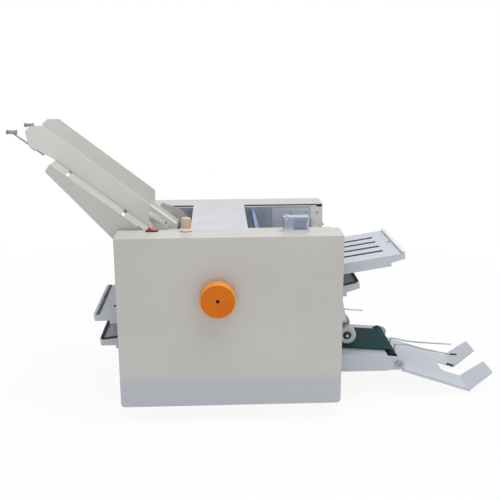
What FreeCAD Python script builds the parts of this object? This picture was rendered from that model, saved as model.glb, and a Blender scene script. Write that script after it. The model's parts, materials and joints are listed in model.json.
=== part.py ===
import FreeCAD, Part
import math
import os

# Tabletop buckle folding machine: feed tray on the left, four fold plates, belt delivery on the right.
# Millimetres. +X runs from the feed side to the delivery side, +Y from the operator to the far side, +Z up.
# The origin lies on the table, under the middle of the casing. A height is measured from the casing's
# bottom edge, unless its name says otherwise, and the rubber feet lift that edge off the table.

# Casing and covers
casing_length = 430.0
casing_height = 338.0
casing_width = 388.0
cover_depth = 70.0
cover_sheet = 1.5
cover_corner_radius = 8.0
cover_edge_radius = 1.2
cover_lip = 14.0
foot_height = 32.0

# Side frames and what ties them
frame_sheet = 8.0
frame_gap = 216.0
frame_end_gap = 15.0
base_sheet = 8.0
top_sheet = 2.0
top_plate_left = -75.0
top_plate_right = 38.0
top_plate_edge_gap = 0.5
top_plate_lip = 9.0
tie_bar_radius = 7.0
tie_bar_inset = 16.0
tie_bar_low_left = 52.0
tie_bar_low_right = 142.0
tie_bar_high_left = 284.0
tie_bar_high_right = 304.0
blue_bar_x = 57.0
blue_bar_width = 8.0
blue_bar_depth = 12.0
blue_bar_top_drop = 8.0

# Cover brackets, screws and feet
bracket_height = 22.0
bracket_depth = 16.0
bracket_length = 26.0
bracket_low = 52.0
bracket_high_left = 256.0
bracket_high_right = 292.0
screw_shank_radius = 2.0
screw_head_radius = 4.2
screw_head_height = 2.4
screw_length = 9.0
screw_slot_width = 1.1
screw_slot_depth = 1.2
screw_hole_gap = 0.25
foot_top_radius = 20.0
foot_bottom_radius = 17.0
foot_inset_x = 30.0
foot_inset_y = 23.0
foot_bolt_radius = 3.25

# Roller stack and gears
roller_radius = 12.5
roller_spacing = 25.5
roller_count = 6
roller_length = 200.0
roller_groove_count = 9
roller_groove_width = 4.0
roller_groove_depth = 0.8
journal_radius = 6.0
journal_overrun = 3.0
stack_tilt_degrees = 9.6
first_roller_x = -23.4
first_roller_height = 222.8
running_clearance = 0.04
bush_radius = 9.5
bush_flange_radius = 11.5
bush_flange = 1.5
gear_module = 1.5
gear_face = 8.0
gear_gap_to_frame = 6.0
gear_backlash = 0.24
gear_clearance_share = 0.25
pressure_angle_degrees = 20.0
fold_gear_teeth = 17
idler_teeth = 42
feed_gear_teeth = 34
motor_gear_teeth = 50
delivery_gear_teeth = 30
gear_hub_radius = 10.0
gear_hub_length = 5.0
idler_pin_radius = 5.0

# Handwheel on the first roller's shaft
handwheel_radius = 33.5
handwheel_rim_depth = 24.0
handwheel_front = 226.0
handwheel_edge_radius = 2.5
handwheel_hub_radius = 12.0
handwheel_hub_length = 6.0
handwheel_bore_radius = 5.0
handwheel_socket_radius = 3.6
handwheel_socket_depth = 6.0
handwheel_dish_radius = 27.0
handwheel_dish_depth = 0.8
shaft_hole_gap = 2.0

# Feed tray, in its own slanted frame: length runs down the slope, and zero lies at the casing's top level
feed_slope_degrees = 37.4
feed_zero_x = -169.0
feed_sheet = 2.0
feed_upper_length = 212.0
feed_lower_length = 102.0
feed_step_back = 9.0
feed_inner_gap = 0.5
skirt_upper_depth = 17.0
skirt_lower_depth = 62.0
skirt_lower_reach = 40.0
skirt_corner_radius = 4.0
skirt_screw_pitch = 20.0
chute_bend_x = -48.0
chute_bend_height = 228.0
chute_end_x = -38.0
chute_end_height = 212.0
chute_sheet = 1.5
guide_slot_upper_gap = 37.0
guide_slot_lower_place = -45.0
guide_slot_inner = 28.0
guide_slot_outer = 113.0

# Paper guides and their pull-out rods. A reach runs outward from the feed tray's upper end
near_guide_face = -60.0
far_guide_face = 100.0
guide_sheet = 2.0
guide_height = 38.8
guide_lower_end = 12.0
guide_lower_lean = 27.0
guide_foot_width = 24.0
guide_top_reach = 57.0
guide_top_rise = 2.7
guide_shoulder_reach = 76.0
guide_shoulder_height = 26.2
guide_tip_reach = 79.0
guide_tip_height = 11.5
guide_heel_reach = 55.6
guide_heel_drop = 9.5
guide_knee_reach = 45.0
guide_knee_drop = 5.5
guide_corner_radius = 5.0
guide_stud_radius = 3.0
guide_nut_radius = 7.0
guide_nut_height = 5.0
sliding_clearance = 0.3
rod_radius = 1.8
rod_drop = 6.2
rod_outer_reach = 99.0
rod_inner_reach = 24.0
rod_clamp_reach = 56.0
rod_clamp_length = 14.0
rod_clamp_side = 7.0
rod_sleeve_radius = 4.5
rod_sleeve_length = 20.0
rod_sleeve_rib_length = 3.0
rod_sleeve_neck_radius = 3.6

# Feed roller, its pad and the sheet holder above them
feed_line_angle_degrees = 127.4
feed_roller_length = 60.0
feed_hub_radius = 13.0
feed_roller_floor_gap = 0.5
pad_length = 16.0
pad_width = 32.0
pad_flange = 3.0
pad_flange_thickness = 2.5
pad_drop = 0.3
holder_width = 54.0
holder_sheet = 2.0
holder_flange = 8.0
holder_upper_place = -9.0
holder_lower_place = 60.0
holder_height = 22.0
holder_bar_place = 48.0
holder_bar_radius = 5.0
holder_lug_thickness = 6.0
holder_lug_radius = 9.0
throat_wall_start = 14.0
throat_wall_end = 79.5
throat_wall_start_height = 24.0
throat_wall_bend_place = 38.0
throat_wall_bend_height = 31.3
throat_wall_crown_place = 60.0
throat_wall_crown_height = 35.6
throat_wall_end_height = 30.6
throat_wall_corner_radius = 6.0

# Fold plates, in their own slanted frames: length runs outward from the mouth
plate_side_gap = 3.0
plate_sheet = 1.5
plate_paper_gap = 3.6
plate_rail = 3.0
plate_rail_depth = 22.0
plate_tip_rail_depth = 15.0
plate_tip_length = 30.0
plate_rim_length = 6.0
plate_rim_depth = 12.0
plate_rim_rise = 2.5
plate_rim_corner_radius = 4.0
plate_rim_edge_radius = 0.8
plate_slot_pitch = 38.5
plate_slot_count = 4
plate_slot_width = 12.0
plate_slot_outer_gap = 36.0
plate_slot_inner_gap = 30.0
plate_screw_inset = 12.0
upper_right_slope_degrees = 9.0
lower_right_slope_degrees = 11.7
left_slope_degrees = 7.5
right_mouth_x = 8.0
left_mouth_x = -38.0
long_right_reach = 138.0
short_right_reach = 48.0
long_left_reach = 58.0
short_left_reach = 48.0
upper_right_mouth_height = 220.8
lower_right_mouth_height = 163.2
upper_left_mouth_height = 187.0
lower_left_mouth_height = 133.0
ledge_height = 8.0
ledge_grip = 5.0
ledge_start = 40.0
ledge_length = 120.0

# Paper stops that slide in the fold plates
stop_place = 140.0
stop_bar_length = 12.0
stop_bar_side_gap = 6.0
stop_post_radius = 2.5
stop_bridge_length = 16.0
stop_bridge_height = 2.5
stop_knob_radius = 7.0
stop_knob_height = 7.0
stop_knob_grooves = 12
stop_knob_groove_radius = 0.8

# Delivery belt, its rollers and frame
belt_width = 128.0
belt_thickness = 2.5
belt_outer_radius = 10.0
belt_gap = 0.3
belt_nose_reach = 126.0
belt_drive_x = 38.0
belt_roller_length = 124.0
nose_cap_length = 23.5
nose_journal_radius = 3.0
channel_outer_width = 196.0
channel_sheet = 2.0
channel_low_flange = 7.0
channel_raised_edge = 8.0
deck_end_gap = 2.0
deck_strip_width = 8.0
deck_strip_end_gap = 2.0
deck_strip_corner_radius = 5.0
bed_rise = 2.0
bed_width = 124.0
channel_bottom_height = 24.5
channel_left_x = 24.0
channel_left_top_height = 78.0
channel_right_top_height = 53.0
channel_end_radius = 13.0
channel_boss_radius = 8.0
channel_boss_height = 44.0
channel_boss_left_x = 92.0
channel_boss_end_gap = 24.0
delivery_journal_radius = 5.0

# Press wheels over the belt and the arms that carry them
press_wheel_radius = 19.5
press_wheel_width = 18.0
press_wheel_outer_face = 49.0
press_wheel_hub_radius = 8.0
press_wheel_hub_recess = 5.0
press_wheel_reach = 34.3
press_wheel_gap = 0.4
press_axle_radius = 3.0
press_axle_end = 52.0
press_pivot_gap = 23.0
press_pivot_height = 164.0
press_pivot_radius = 5.0
press_arm_sheet = 4.0
press_arm_inner_face = 25.0
press_arm_half_width = 7.0
press_arm_knee_reach = 21.0
press_arm_knee_height = 150.0
press_lever_radius = 1.6
press_lever_reach = 57.0
press_lever_drop = 8.0
press_lever_y = -93.0

# Stack tray and its wires
tray_pivot_reach = 136.0
tray_pivot_height = 39.0
tray_slope_degrees = 18.8
tray_sheet = 2.0
tray_width = 196.0
tray_lip = 5.0
tray_floor_drop = 8.0
tray_length = 166.0
tray_wide_start = 11.0
tray_ear_gap = 0.4
tray_ear_radius = 8.5
tray_notch_depth = 44.0
tray_notch_width = 50.0
tray_notch_radius = 10.0
tray_tab_rise_degrees = 36.5
tray_tab_length = 60.0
tray_tab_top_inner = 32.0
tray_tab_top_outer = 92.0
tray_tab_corner_radius = 6.0
pivot_bolt_radius = 5.0
pivot_bolt_head_radius = 8.0
pivot_bolt_head_height = 3.5
pivot_bolt_hex_radius = 3.6
wire_radius = 1.25
wire_side = 22.0
wire_foot_reach = 6.5
wire_top_height = 54.0
wire_bend_radius = 6.0
wire_reach = 138.5
wire_tip_radius = 2.0
wire_tip_length = 17.0
near_wire_shares = [(0.191, 0.972), (0.386, 0.820), (0.653, 0.648), (0.877, 0.519), (1.0, 0.490)]
far_wire_top_share = 0.963
far_wire_shares = [(0.162, 0.870), (0.329, 0.774), (0.574, 0.715), (0.791, 0.667), (1.0, 0.626)]

# Switch, pilot lamp and counter on the near cover's top
switch_end_gap = 67.0
switch_y = -134.0
switch_length = 24.0
switch_width = 15.0
switch_frame = 1.2
switch_frame_height = 1.6
switch_body_depth = 16.0
rocker_gap = 0.6
rocker_rise = 9.0
rocker_dip = 1.0
rocker_lean = 3.0
rocker_pin_radius = 1.5
lamp_plate_gap = 7.0
lamp_y = -136.0
lamp_ring_radius = 11.5
lamp_ring_height = 4.0
lamp_lens_radius = 10.0
lamp_lens_height = 23.0
lamp_lens_wall = 1.5
lamp_thread_radius = 8.0
lamp_thread_depth = 6.0
lamp_bulb_radius = 5.0
lamp_bulb_height = 12.0
counter_end_gap = 87.0
counter_y = -147.0
counter_length = 52.0
counter_width = 26.0
counter_base_height = 4.0
counter_height = 29.0
counter_window_sheet = 1.2
counter_window_inset = 1.5
counter_body_length = 22.0
counter_body_width = 17.0
counter_body_height = 15.0
counter_body_offset = 8.0
counter_button_radius = 2.6
counter_button_length = 7.0
counter_button_travel = 2.0
counter_corner_radius = 3.0

# Motor and power inlet
motor_radius = 32.0
motor_length = 104.0
motor_gearbox_length = 26.0
motor_cap_length = 10.0
motor_fin_count = 8
motor_fin_gap = 5.0
motor_fin_depth = 1.6
motor_boss_radius = 11.0
motor_shaft_radius = 5.0
inlet_end_gap = 65.0
inlet_height = 44.0
inlet_length = 28.0
inlet_rise = 21.0
inlet_flange = 3.0
inlet_flange_thickness = 2.0
inlet_depth = 18.0
inlet_recess_wall = 3.0
inlet_pin_radius = 1.8
inlet_pin_length = 10.0
inlet_pin_spread = 6.0
inlet_pin_rise = 2.5

cut_overrun = 1.0

# Worked out once from the sizes above
vector = FreeCAD.Vector
lift = foot_height
cover_outer = casing_width / 2
cover_inner = cover_outer - cover_depth
casing_half = casing_length / 2
casing_top = lift + casing_height
frame_inner = frame_gap / 2
plate_width = frame_gap - plate_side_gap * 2
frame_outer = frame_inner + frame_sheet
frame_half = casing_half - frame_end_gap
frame_top = casing_top - top_sheet
gear_near = -(frame_outer + gear_gap_to_frame + gear_face)
roller_half = roller_length / 2
stack_tilt = math.radians(stack_tilt_degrees)
feed_slope = math.radians(feed_slope_degrees)
tray_slope = math.radians(tray_slope_degrees)
guide_slot_upper_place = guide_slot_upper_gap - feed_upper_length
long_right_end_x = casing_half + long_right_reach
short_right_end_x = casing_half + short_right_reach
long_left_end_x = -casing_half - long_left_reach
short_left_end_x = -casing_half - short_left_reach
belt_nose_x = casing_half + belt_nose_reach
press_wheel_x = casing_half + press_wheel_reach
press_pivot_x = casing_half - press_pivot_gap
press_arm_knee_x = casing_half + press_arm_knee_reach
press_lever_end_x = casing_half + press_lever_reach
channel_boss_right_x = frame_half - channel_boss_end_gap
tray_pivot_x = casing_half + tray_pivot_reach
wire_foot_x = tray_pivot_x + wire_foot_reach
switch_x = switch_end_gap - casing_half
lamp_x = top_plate_left - lamp_plate_gap
counter_x = casing_half - counter_end_gap
inlet_x = inlet_end_gap - casing_half
channel_fall = channel_left_top_height - channel_right_top_height
belt_slope = math.atan(channel_fall / (tray_pivot_x - channel_left_x))


def box(x0, x1, y0, y1, z0, z1):
    """A block between two corners."""
    return Part.makeBox(x1 - x0, y1 - y0, z1 - z0, vector(x0, y0, z0))


def rod_along_y(x, z, radius, y0, y1):
    """A round bar along Y."""
    return Part.makeCylinder(radius, y1 - y0, vector(x, y0, z), vector(0, 1, 0))


def rod_along_z(x, y, radius, z0, z1):
    """A round bar along Z."""
    return Part.makeCylinder(radius, z1 - z0, vector(x, y, z0), vector(0, 0, 1))


def rod_between(start, end, radius):
    """A round bar from one point to another."""
    along = vector(*end) - vector(*start)
    return Part.makeCylinder(radius, along.Length, vector(*start), along)


def plate_in_xz(points, y0, y1):
    """A flat plate whose outline is given as (x, z) and whose thickness runs along Y."""
    corners = [vector(x, y0, z) for x, z in points]
    face = Part.Face(Part.makePolygon(corners + corners[:1]))
    return face.extrude(vector(0, y1 - y0, 0))


def plate_in_xy(points, z0, z1):
    """A flat plate whose outline is given as (x, y) and whose thickness runs along Z."""
    corners = [vector(x, y, z0) for x, y in points]
    face = Part.Face(Part.makePolygon(corners + corners[:1]))
    return face.extrude(vector(0, 0, z1 - z0))


def round_edges(shape, radius, wanted):
    """Round the edges that the test picks."""
    edges = [edge for edge in shape.Edges if wanted(edge)]
    return shape.makeFillet(radius, edges)


def runs_along(edge, axis):
    """True where a straight edge runs along one of the axes 0, 1 or 2."""
    if edge.Curve.TypeId != "Part::GeomLine":
        return False
    direction = edge.Curve.Direction
    return abs(abs(direction[axis]) - 1) < 1e-6


def edge_middle(edge):
    """The middle of an edge's box."""
    return edge.BoundBox.Center


def tilted(shape, degrees, x, z):
    """Turn a shape so that its X rises by the given angle, and move its origin to (x, z)."""
    placed = shape.copy()
    placed.rotate(vector(0, 0, 0), vector(0, 1, 0), -degrees)
    placed.translate(vector(x, 0, z))
    return placed


def slanted_point(length, height, degrees, x, z):
    """Where a point of a tilted frame lies in the part's own frame."""
    angle = math.radians(degrees)
    far_x = x + length * math.cos(angle) - height * math.sin(angle)
    far_z = z + length * math.sin(angle) + height * math.cos(angle)
    return far_x, far_z


def mirrored(shape):
    """The same shape on the other side of the machine's middle plane."""
    return shape.mirror(vector(0, 0, 0), vector(0, 1, 0))


def save(name, solids):
    """Write one sub-part, which may be a group of separate solids."""
    shape = solids[0] if len(solids) == 1 else Part.makeCompound(solids)
    shape.exportStep("parts/" + name + ".step")


# Roller places

def roller_place(index):
    """Centre of a fold roller, counted from zero at the top of the tilted stack."""
    x = first_roller_x + index * roller_spacing * math.sin(stack_tilt)
    z = lift + first_roller_height - index * roller_spacing * math.cos(stack_tilt)
    return x, z


def pitch_radius(teeth):
    return gear_module * teeth / 2


def beyond(place, angle, distance):
    """A point at a distance from another, along an angle in the XZ plane."""
    return place[0] + distance * math.cos(angle), place[1] + distance * math.sin(angle)


def meeting_place(first, first_distance, second, second_distance):
    """The lower point that lies at two given distances from two points."""
    gap_x = second[0] - first[0]
    gap_z = second[1] - first[1]
    gap = math.hypot(gap_x, gap_z)
    along = (first_distance ** 2 - second_distance ** 2 + gap ** 2) / (2 * gap)
    across = math.sqrt(first_distance ** 2 - along ** 2)
    x = first[0] + (along * gap_x + across * gap_z) / gap
    z = first[1] + (along * gap_z - across * gap_x) / gap
    return x, z


rollers = [roller_place(index) for index in range(roller_count)]
feed_line_angle = math.radians(feed_line_angle_degrees)
idler_place = beyond(rollers[0], feed_line_angle, pitch_radius(fold_gear_teeth + idler_teeth))
feed_place = beyond(idler_place, feed_line_angle, pitch_radius(idler_teeth + feed_gear_teeth))


def channel_top_at(x):
    """Height of the delivery deck's upper face at a place along the machine."""
    return lift + channel_right_top_height + (tray_pivot_x - x) * math.tan(belt_slope)


def belt_top_at(x):
    """Height of the belt's upper face at a place along the machine."""
    return channel_top_at(x) + (bed_rise + belt_gap + belt_thickness) / math.cos(belt_slope)


belt_axis_drop = belt_outer_radius / math.cos(belt_slope)
belt_nose_place = (belt_nose_x, belt_top_at(belt_nose_x) - belt_axis_drop)
belt_drive_place = (belt_drive_x, belt_top_at(belt_drive_x) - belt_axis_drop)
motor_place = meeting_place(
    rollers[-1],
    pitch_radius(fold_gear_teeth + motor_gear_teeth),
    belt_drive_place,
    pitch_radius(motor_gear_teeth + delivery_gear_teeth),
)

press_axle_x = press_wheel_x
press_wheel_rise = (press_wheel_radius + press_wheel_gap) / math.cos(belt_slope)
press_axle_z = belt_top_at(press_wheel_x) + press_wheel_rise
feed_zero = (feed_zero_x, casing_top)
feed_roller_radius = (
    (feed_place[0] - feed_zero[0]) * math.sin(feed_slope)
    + (feed_place[1] - feed_zero[1]) * math.cos(feed_slope)
    - feed_roller_floor_gap
)
feed_roller_length_place = (
    (feed_place[0] - feed_zero[0]) * math.cos(feed_slope)
    - (feed_place[1] - feed_zero[1]) * math.sin(feed_slope)
)


def from_feed(shape):
    """Move a shape from the feed tray's slanted frame to its place."""
    return tilted(shape, -feed_slope_degrees, feed_zero[0], feed_zero[1])


def feed_point(length, height):
    """A point of the feed tray's slanted frame."""
    return slanted_point(length, height, -feed_slope_degrees, feed_zero[0], feed_zero[1])


# Gears

def polar(radius, angle, y):
    return vector(radius * math.cos(angle), y, radius * math.sin(angle))


def gear(place, teeth, tooth_angle, bore_radius, y0, face):
    """An involute spur gear with one tooth's middle at the given angle."""
    pressure = math.radians(pressure_angle_degrees)
    pitch = pitch_radius(teeth)
    base = pitch * math.cos(pressure)
    tip = pitch + gear_module
    root = pitch - gear_module * (1 + gear_clearance_share)
    start = max(base, root)
    half_at_pitch = (math.pi * gear_module / 2 - gear_backlash) / (2 * pitch)
    inverse_at_pitch = math.tan(pressure) - pressure

    def half_angle(radius):
        flank = math.acos(min(1, base / radius))
        return half_at_pitch + inverse_at_pitch - (math.tan(flank) - flank)

    middle = (start + tip) / 2
    step = 2 * math.pi / teeth
    edges = []
    for count in range(teeth):
        angle = tooth_angle + count * step
        foot_right = polar(root, angle - half_angle(start), y0)
        foot_left = polar(root, angle + half_angle(start), y0)
        flank_right = polar(start, angle - half_angle(start), y0)
        flank_left = polar(start, angle + half_angle(start), y0)
        tip_right = polar(tip, angle - half_angle(tip), y0)
        tip_left = polar(tip, angle + half_angle(tip), y0)
        if start > root:
            edges.append(Part.LineSegment(foot_right, flank_right).toShape())
        bulge_right = polar(middle, angle - half_angle(middle), y0)
        edges.append(Part.Arc(flank_right, bulge_right, tip_right).toShape())
        edges.append(Part.Arc(tip_right, polar(tip, angle, y0), tip_left).toShape())
        bulge_left = polar(middle, angle + half_angle(middle), y0)
        edges.append(Part.Arc(tip_left, bulge_left, flank_left).toShape())
        if start > root:
            edges.append(Part.LineSegment(flank_left, foot_left).toShape())
        next_foot = polar(root, angle + step - half_angle(start), y0)
        edges.append(Part.Arc(foot_left, polar(root, angle + step / 2, y0), next_foot).toShape())
    outline = Part.Wire(edges)
    wheel = Part.Face(outline).extrude(vector(0, face, 0))
    if bore_radius:
        bore = rod_along_y(0, 0, bore_radius, y0 - cut_overrun, y0 + face + cut_overrun)
        wheel = wheel.cut(bore)
    wheel.translate(vector(place[0], 0, place[1]))
    return wheel


def meshed_angle(place, teeth, tooth_angle, next_place, next_teeth):
    """The tooth angle of a gear that meshes with another."""
    towards = math.atan2(next_place[1] - place[1], next_place[0] - place[0])
    passed_on = (tooth_angle - towards) * teeth / next_teeth
    return towards + math.pi - passed_on - math.pi / next_teeth


roller_tooth_angles = [0]
for index in range(1, roller_count):
    last_angle = roller_tooth_angles[-1]
    next_angle = meshed_angle(
        rollers[index - 1], fold_gear_teeth, last_angle, rollers[index], fold_gear_teeth
    )
    roller_tooth_angles.append(next_angle)
idler_angle = meshed_angle(
    rollers[0], fold_gear_teeth, roller_tooth_angles[0], idler_place, idler_teeth
)
feed_gear_angle = meshed_angle(idler_place, idler_teeth, idler_angle, feed_place, feed_gear_teeth)
motor_gear_angle = meshed_angle(
    rollers[-1], fold_gear_teeth, roller_tooth_angles[-1], motor_place, motor_gear_teeth
)
delivery_gear_angle = meshed_angle(
    motor_place, motor_gear_teeth, motor_gear_angle, belt_drive_place, delivery_gear_teeth
)


def ring_along_y(place, outer, inner, y0, y1):
    """A round sleeve along Y."""
    sleeve = rod_along_y(place[0], place[1], outer, y0, y1)
    return sleeve.cut(rod_along_y(place[0], place[1], inner, y0 - cut_overrun, y1 + cut_overrun))


def hubbed_gear(place, teeth, tooth_angle, bore_radius):
    """A gear with a hub on its outer side. It stays solid in the middle where the bore is zero."""
    wheel = gear(place, teeth, tooth_angle, bore_radius, gear_near, gear_face)
    hub = rod_along_y(place[0], place[1], gear_hub_radius, gear_near - gear_hub_length, gear_near)
    if bore_radius:
        hub = ring_along_y(place, gear_hub_radius, bore_radius, gear_near - gear_hub_length, gear_near)
    return wheel.fuse(hub).removeSplitter()


# Covers

def rounded_side(x_half, z0, z1, radius, y0, y1):
    """A slab with two rounded bottom corners, seen from the side."""
    slab = box(-x_half, x_half, y0, y1, z0, z1)

    def is_bottom_corner(edge):
        return runs_along(edge, 1) and edge_middle(edge).z < (z0 + z1) / 2

    return round_edges(slab, radius, is_bottom_corner)


def is_front_rim(edge):
    """True on the outline of the near cover's outer face."""
    bounds = edge.BoundBox
    return bounds.YMax < -cover_outer + cut_overrun / 2


def bare_cover():
    """The near cover as one folded sheet, open towards the frame and underneath."""
    shell = rounded_side(casing_half, lift, casing_top, cover_corner_radius, -cover_outer, -cover_inner)
    shell = round_edges(shell, cover_edge_radius, is_front_rim)
    inner_half = casing_half - cover_sheet
    inner_radius = cover_corner_radius - cover_sheet
    inner_low = lift + cover_sheet
    inner_high = casing_top - cover_sheet
    inner_front = -cover_outer + cover_sheet
    hollow = rounded_side(
        inner_half, inner_low, inner_high, inner_radius, inner_front, -cover_inner + cut_overrun
    )
    shell = shell.cut(hollow)
    floor_half = casing_half - cover_lip
    floor_front = -cover_outer + cover_lip
    floor = box(
        -floor_half, floor_half, floor_front, -cover_inner + cut_overrun, lift - cut_overrun, lift + cover_lip
    )
    return shell.cut(floor)


def bracket_places():
    """The x side and the height of each bracket on one frame plate."""
    for side, height in (
        (-1, bracket_low), (-1, bracket_high_left), (1, bracket_low), (1, bracket_high_right),
    ):
        yield side, lift + height


def cover_screw_tools(radius, near_side):
    """Holes for the cover screws through one cover's end walls."""
    y = -(frame_outer + bracket_depth / 2) * (1 if near_side else -1)
    inner_half = casing_half - cover_sheet
    tools = []
    for side, z in bracket_places():
        start = (side * (inner_half - cut_overrun), y, z)
        end = (side * (casing_half + cut_overrun), y, z)
        tools.append(rod_between(start, end, radius))
    return tools


def near_cover():
    shell = bare_cover()
    wheel_x, wheel_z = rollers[0]
    shaft_hole = rod_along_y(
        wheel_x, wheel_z, handwheel_bore_radius + shaft_hole_gap, -cover_outer - cut_overrun, -cover_inner
    )
    top_low = casing_top - cover_lip
    top_high = casing_top + cut_overrun
    switch_hole = box(
        switch_x - switch_length / 2 + switch_frame,
        switch_x + switch_length / 2 - switch_frame,
        switch_y - switch_width / 2 + switch_frame,
        switch_y + switch_width / 2 - switch_frame,
        top_low,
        top_high,
    )
    lamp_hole = rod_along_z(lamp_x, lamp_y, lamp_thread_radius, top_low, top_high)
    holes = [shaft_hole, switch_hole, lamp_hole]
    holes += cover_screw_tools(screw_shank_radius + screw_hole_gap, True)
    return shell.cut(holes)


def far_cover():
    shell = mirrored(bare_cover())
    inlet_hole = box(
        inlet_x - inlet_length / 2,
        inlet_x + inlet_length / 2,
        cover_inner,
        cover_outer + cut_overrun,
        lift + inlet_height - inlet_rise / 2,
        lift + inlet_height + inlet_rise / 2,
    )
    return shell.cut([inlet_hole] + cover_screw_tools(screw_shank_radius + screw_hole_gap, False))


def cover_screws():
    """Slotted pan screws through the covers' end walls into the brackets."""
    screws = []
    for near_side in (True, False):
        y = -(frame_outer + bracket_depth / 2) * (1 if near_side else -1)
        for side, z in bracket_places():
            face = side * casing_half
            shank = rod_between((face, y, z), (side * (casing_half - screw_length), y, z), screw_shank_radius)
            head_end = side * (casing_half + screw_head_height)
            head = rod_between((face, y, z), (head_end, y, z), screw_head_radius)
            slot_start = casing_half + screw_head_height - screw_slot_depth
            slot_end = casing_half + screw_head_height + cut_overrun
            x0, x1 = sorted((side * slot_start, side * slot_end))
            slot = box(
                x0, x1, y - screw_head_radius, y + screw_head_radius,
                z - screw_slot_width / 2, z + screw_slot_width / 2,
            )
            screws.append(head.fuse(shank).removeSplitter().cut(slot))
    return screws


# Frame plates

def tie_bar_places():
    """The round bars between the frame plates."""
    x = frame_half - tie_bar_inset
    return [
        (-x, lift + tie_bar_low_left),
        (x, lift + tie_bar_low_right),
        (-x, lift + tie_bar_high_left),
        (x, lift + tie_bar_high_right),
    ]


def plate_places():
    """Name, side, mouth, end, mouth height and slope of each fold plate."""
    right_slopes = (upper_right_slope_degrees, lower_right_slope_degrees)
    right_heights = (upper_right_mouth_height, lower_right_mouth_height)
    left_heights = (upper_left_mouth_height, lower_left_mouth_height)
    right_ends = (long_right_end_x, short_right_end_x)
    left_ends = (long_left_end_x, short_left_end_x)
    places = []
    for level in (0, 1):
        right_name = "fold_plate_" + str(2 * level + 1)
        left_name = "fold_plate_" + str(2 * level + 2)
        right_mouth = lift + right_heights[level]
        left_mouth = lift + left_heights[level]
        places.append((right_name, 1, right_mouth_x, right_ends[level], right_mouth, right_slopes[level]))
        places.append((left_name, -1, left_mouth_x, left_ends[level], left_mouth, left_slope_degrees))
    return places


def place_plate(shape, side, mouth_x, mouth_z, slope):
    """Move a shape from a fold plate's own frame, where X runs outward from the mouth."""
    placed = shape.copy()
    if side < 0:
        placed = placed.mirror(vector(0, 0, 0), vector(1, 0, 0))
    return tilted(placed, slope, mouth_x, mouth_z)


rail_bottom = -(plate_rail_depth - plate_sheet - plate_paper_gap / 2)


def frame_ledges():
    """Slanted ledges on the near frame plate that carry the fold plates' rails."""
    ledges = []
    for name, side, mouth_x, end_x, mouth_z, slope in plate_places():
        ledge = box(
            ledge_start,
            ledge_start + ledge_length,
            -frame_inner,
            ledge_grip - plate_width / 2,
            rail_bottom - ledge_height,
            rail_bottom,
        )
        ledges.append(place_plate(ledge, side, mouth_x, mouth_z, slope))
    return ledges


def bearing_places():
    """Centre of every bush in a frame plate, with the bore radius that its shaft needs."""
    places = [(place, journal_radius) for place in rollers]
    places.append((feed_place, journal_radius))
    places.append((belt_drive_place, delivery_journal_radius))
    return places


def bare_frame_plate():
    """The near frame plate: flat steel with brackets for the cover and ledges for the fold plates."""
    plate = box(-frame_half, frame_half, -frame_outer, -frame_inner, lift, frame_top)
    additions = frame_ledges()
    inner_half = casing_half - cover_sheet
    for side, z in bracket_places():
        x0, x1 = sorted((side * (inner_half - bracket_length), side * inner_half))
        low = z - bracket_height / 2
        high = z + bracket_height / 2
        additions.append(box(x0, x1, -frame_outer - bracket_depth, -frame_outer, low, high))
    plate = plate.fuse(additions).removeSplitter()
    y0 = -frame_outer - cut_overrun
    y1 = -frame_inner + cut_overrun
    holes = [rod_along_y(place[0], place[1], bush_radius, y0, y1) for place, radius in bearing_places()]
    y = -(frame_outer + bracket_depth / 2)
    for side, z in bracket_places():
        start = (side * (casing_half + cut_overrun), y, z)
        end = (side * (casing_half - screw_length - cut_overrun), y, z)
        holes.append(rod_between(start, end, screw_shank_radius))
    for length, height in skirt_screw_places():
        x, z = feed_point(length, height)
        holes.append(rod_along_y(x, z, screw_shank_radius, y0, -frame_outer + screw_length))
    return plate.cut(holes)


def near_frame_plate():
    """The near frame plate, with the riveted pin of the idler gear and the motor's shaft hole."""
    y0 = -frame_outer - cut_overrun
    y1 = -frame_inner + cut_overrun
    motor_hole = rod_along_y(motor_place[0], motor_place[1], motor_boss_radius, y0, y1)
    x, z = idler_place
    pin = rod_along_y(x, z, idler_pin_radius, shaft_near_end, -frame_outer)
    pin_head = rod_along_y(x, z, gear_hub_radius, shaft_near_end - bush_flange, shaft_near_end)
    return bare_frame_plate().cut(motor_hole).fuse([pin, pin_head]).removeSplitter()


def base_plate():
    plate = box(-frame_half, frame_half, -frame_inner, frame_inner, lift, lift + base_sheet)
    holes = []
    for x, y in foot_places():
        holes.append(rod_along_z(x, y, foot_bolt_radius, lift - cut_overrun, lift + base_sheet + cut_overrun))
    return plate.cut(holes)


def foot_places():
    """The four corners where the feet are bolted."""
    x = frame_half - foot_inset_x
    y = frame_inner - foot_inset_y
    return [(-x, -y), (x, -y), (-x, y), (x, y)]


def rubber_feet():
    """Tapered feet with a hole for a bench bolt."""
    feet = []
    for x, y in foot_places():
        foot = Part.makeCone(foot_bottom_radius, foot_top_radius, foot_height, vector(x, y, 0))
        hole = rod_along_z(x, y, foot_bolt_radius, -cut_overrun, foot_height + cut_overrun)
        feet.append(foot.cut(hole))
    return feet


def tie_bars():
    """The round bars across the frame. Two thinner ones carry the press arms and the sheet holder."""
    bars = [rod_along_y(x, z, tie_bar_radius, -frame_inner, frame_inner) for x, z in tie_bar_places()]
    press_z = lift + press_pivot_height
    bars.append(rod_along_y(press_pivot_x, press_z, press_pivot_radius, -frame_inner, frame_inner))
    holder_x, holder_z = feed_point(holder_bar_place, holder_height - holder_lug_radius)
    bars.append(rod_along_y(holder_x, holder_z, holder_bar_radius, -frame_inner, frame_inner))
    return bars


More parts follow.
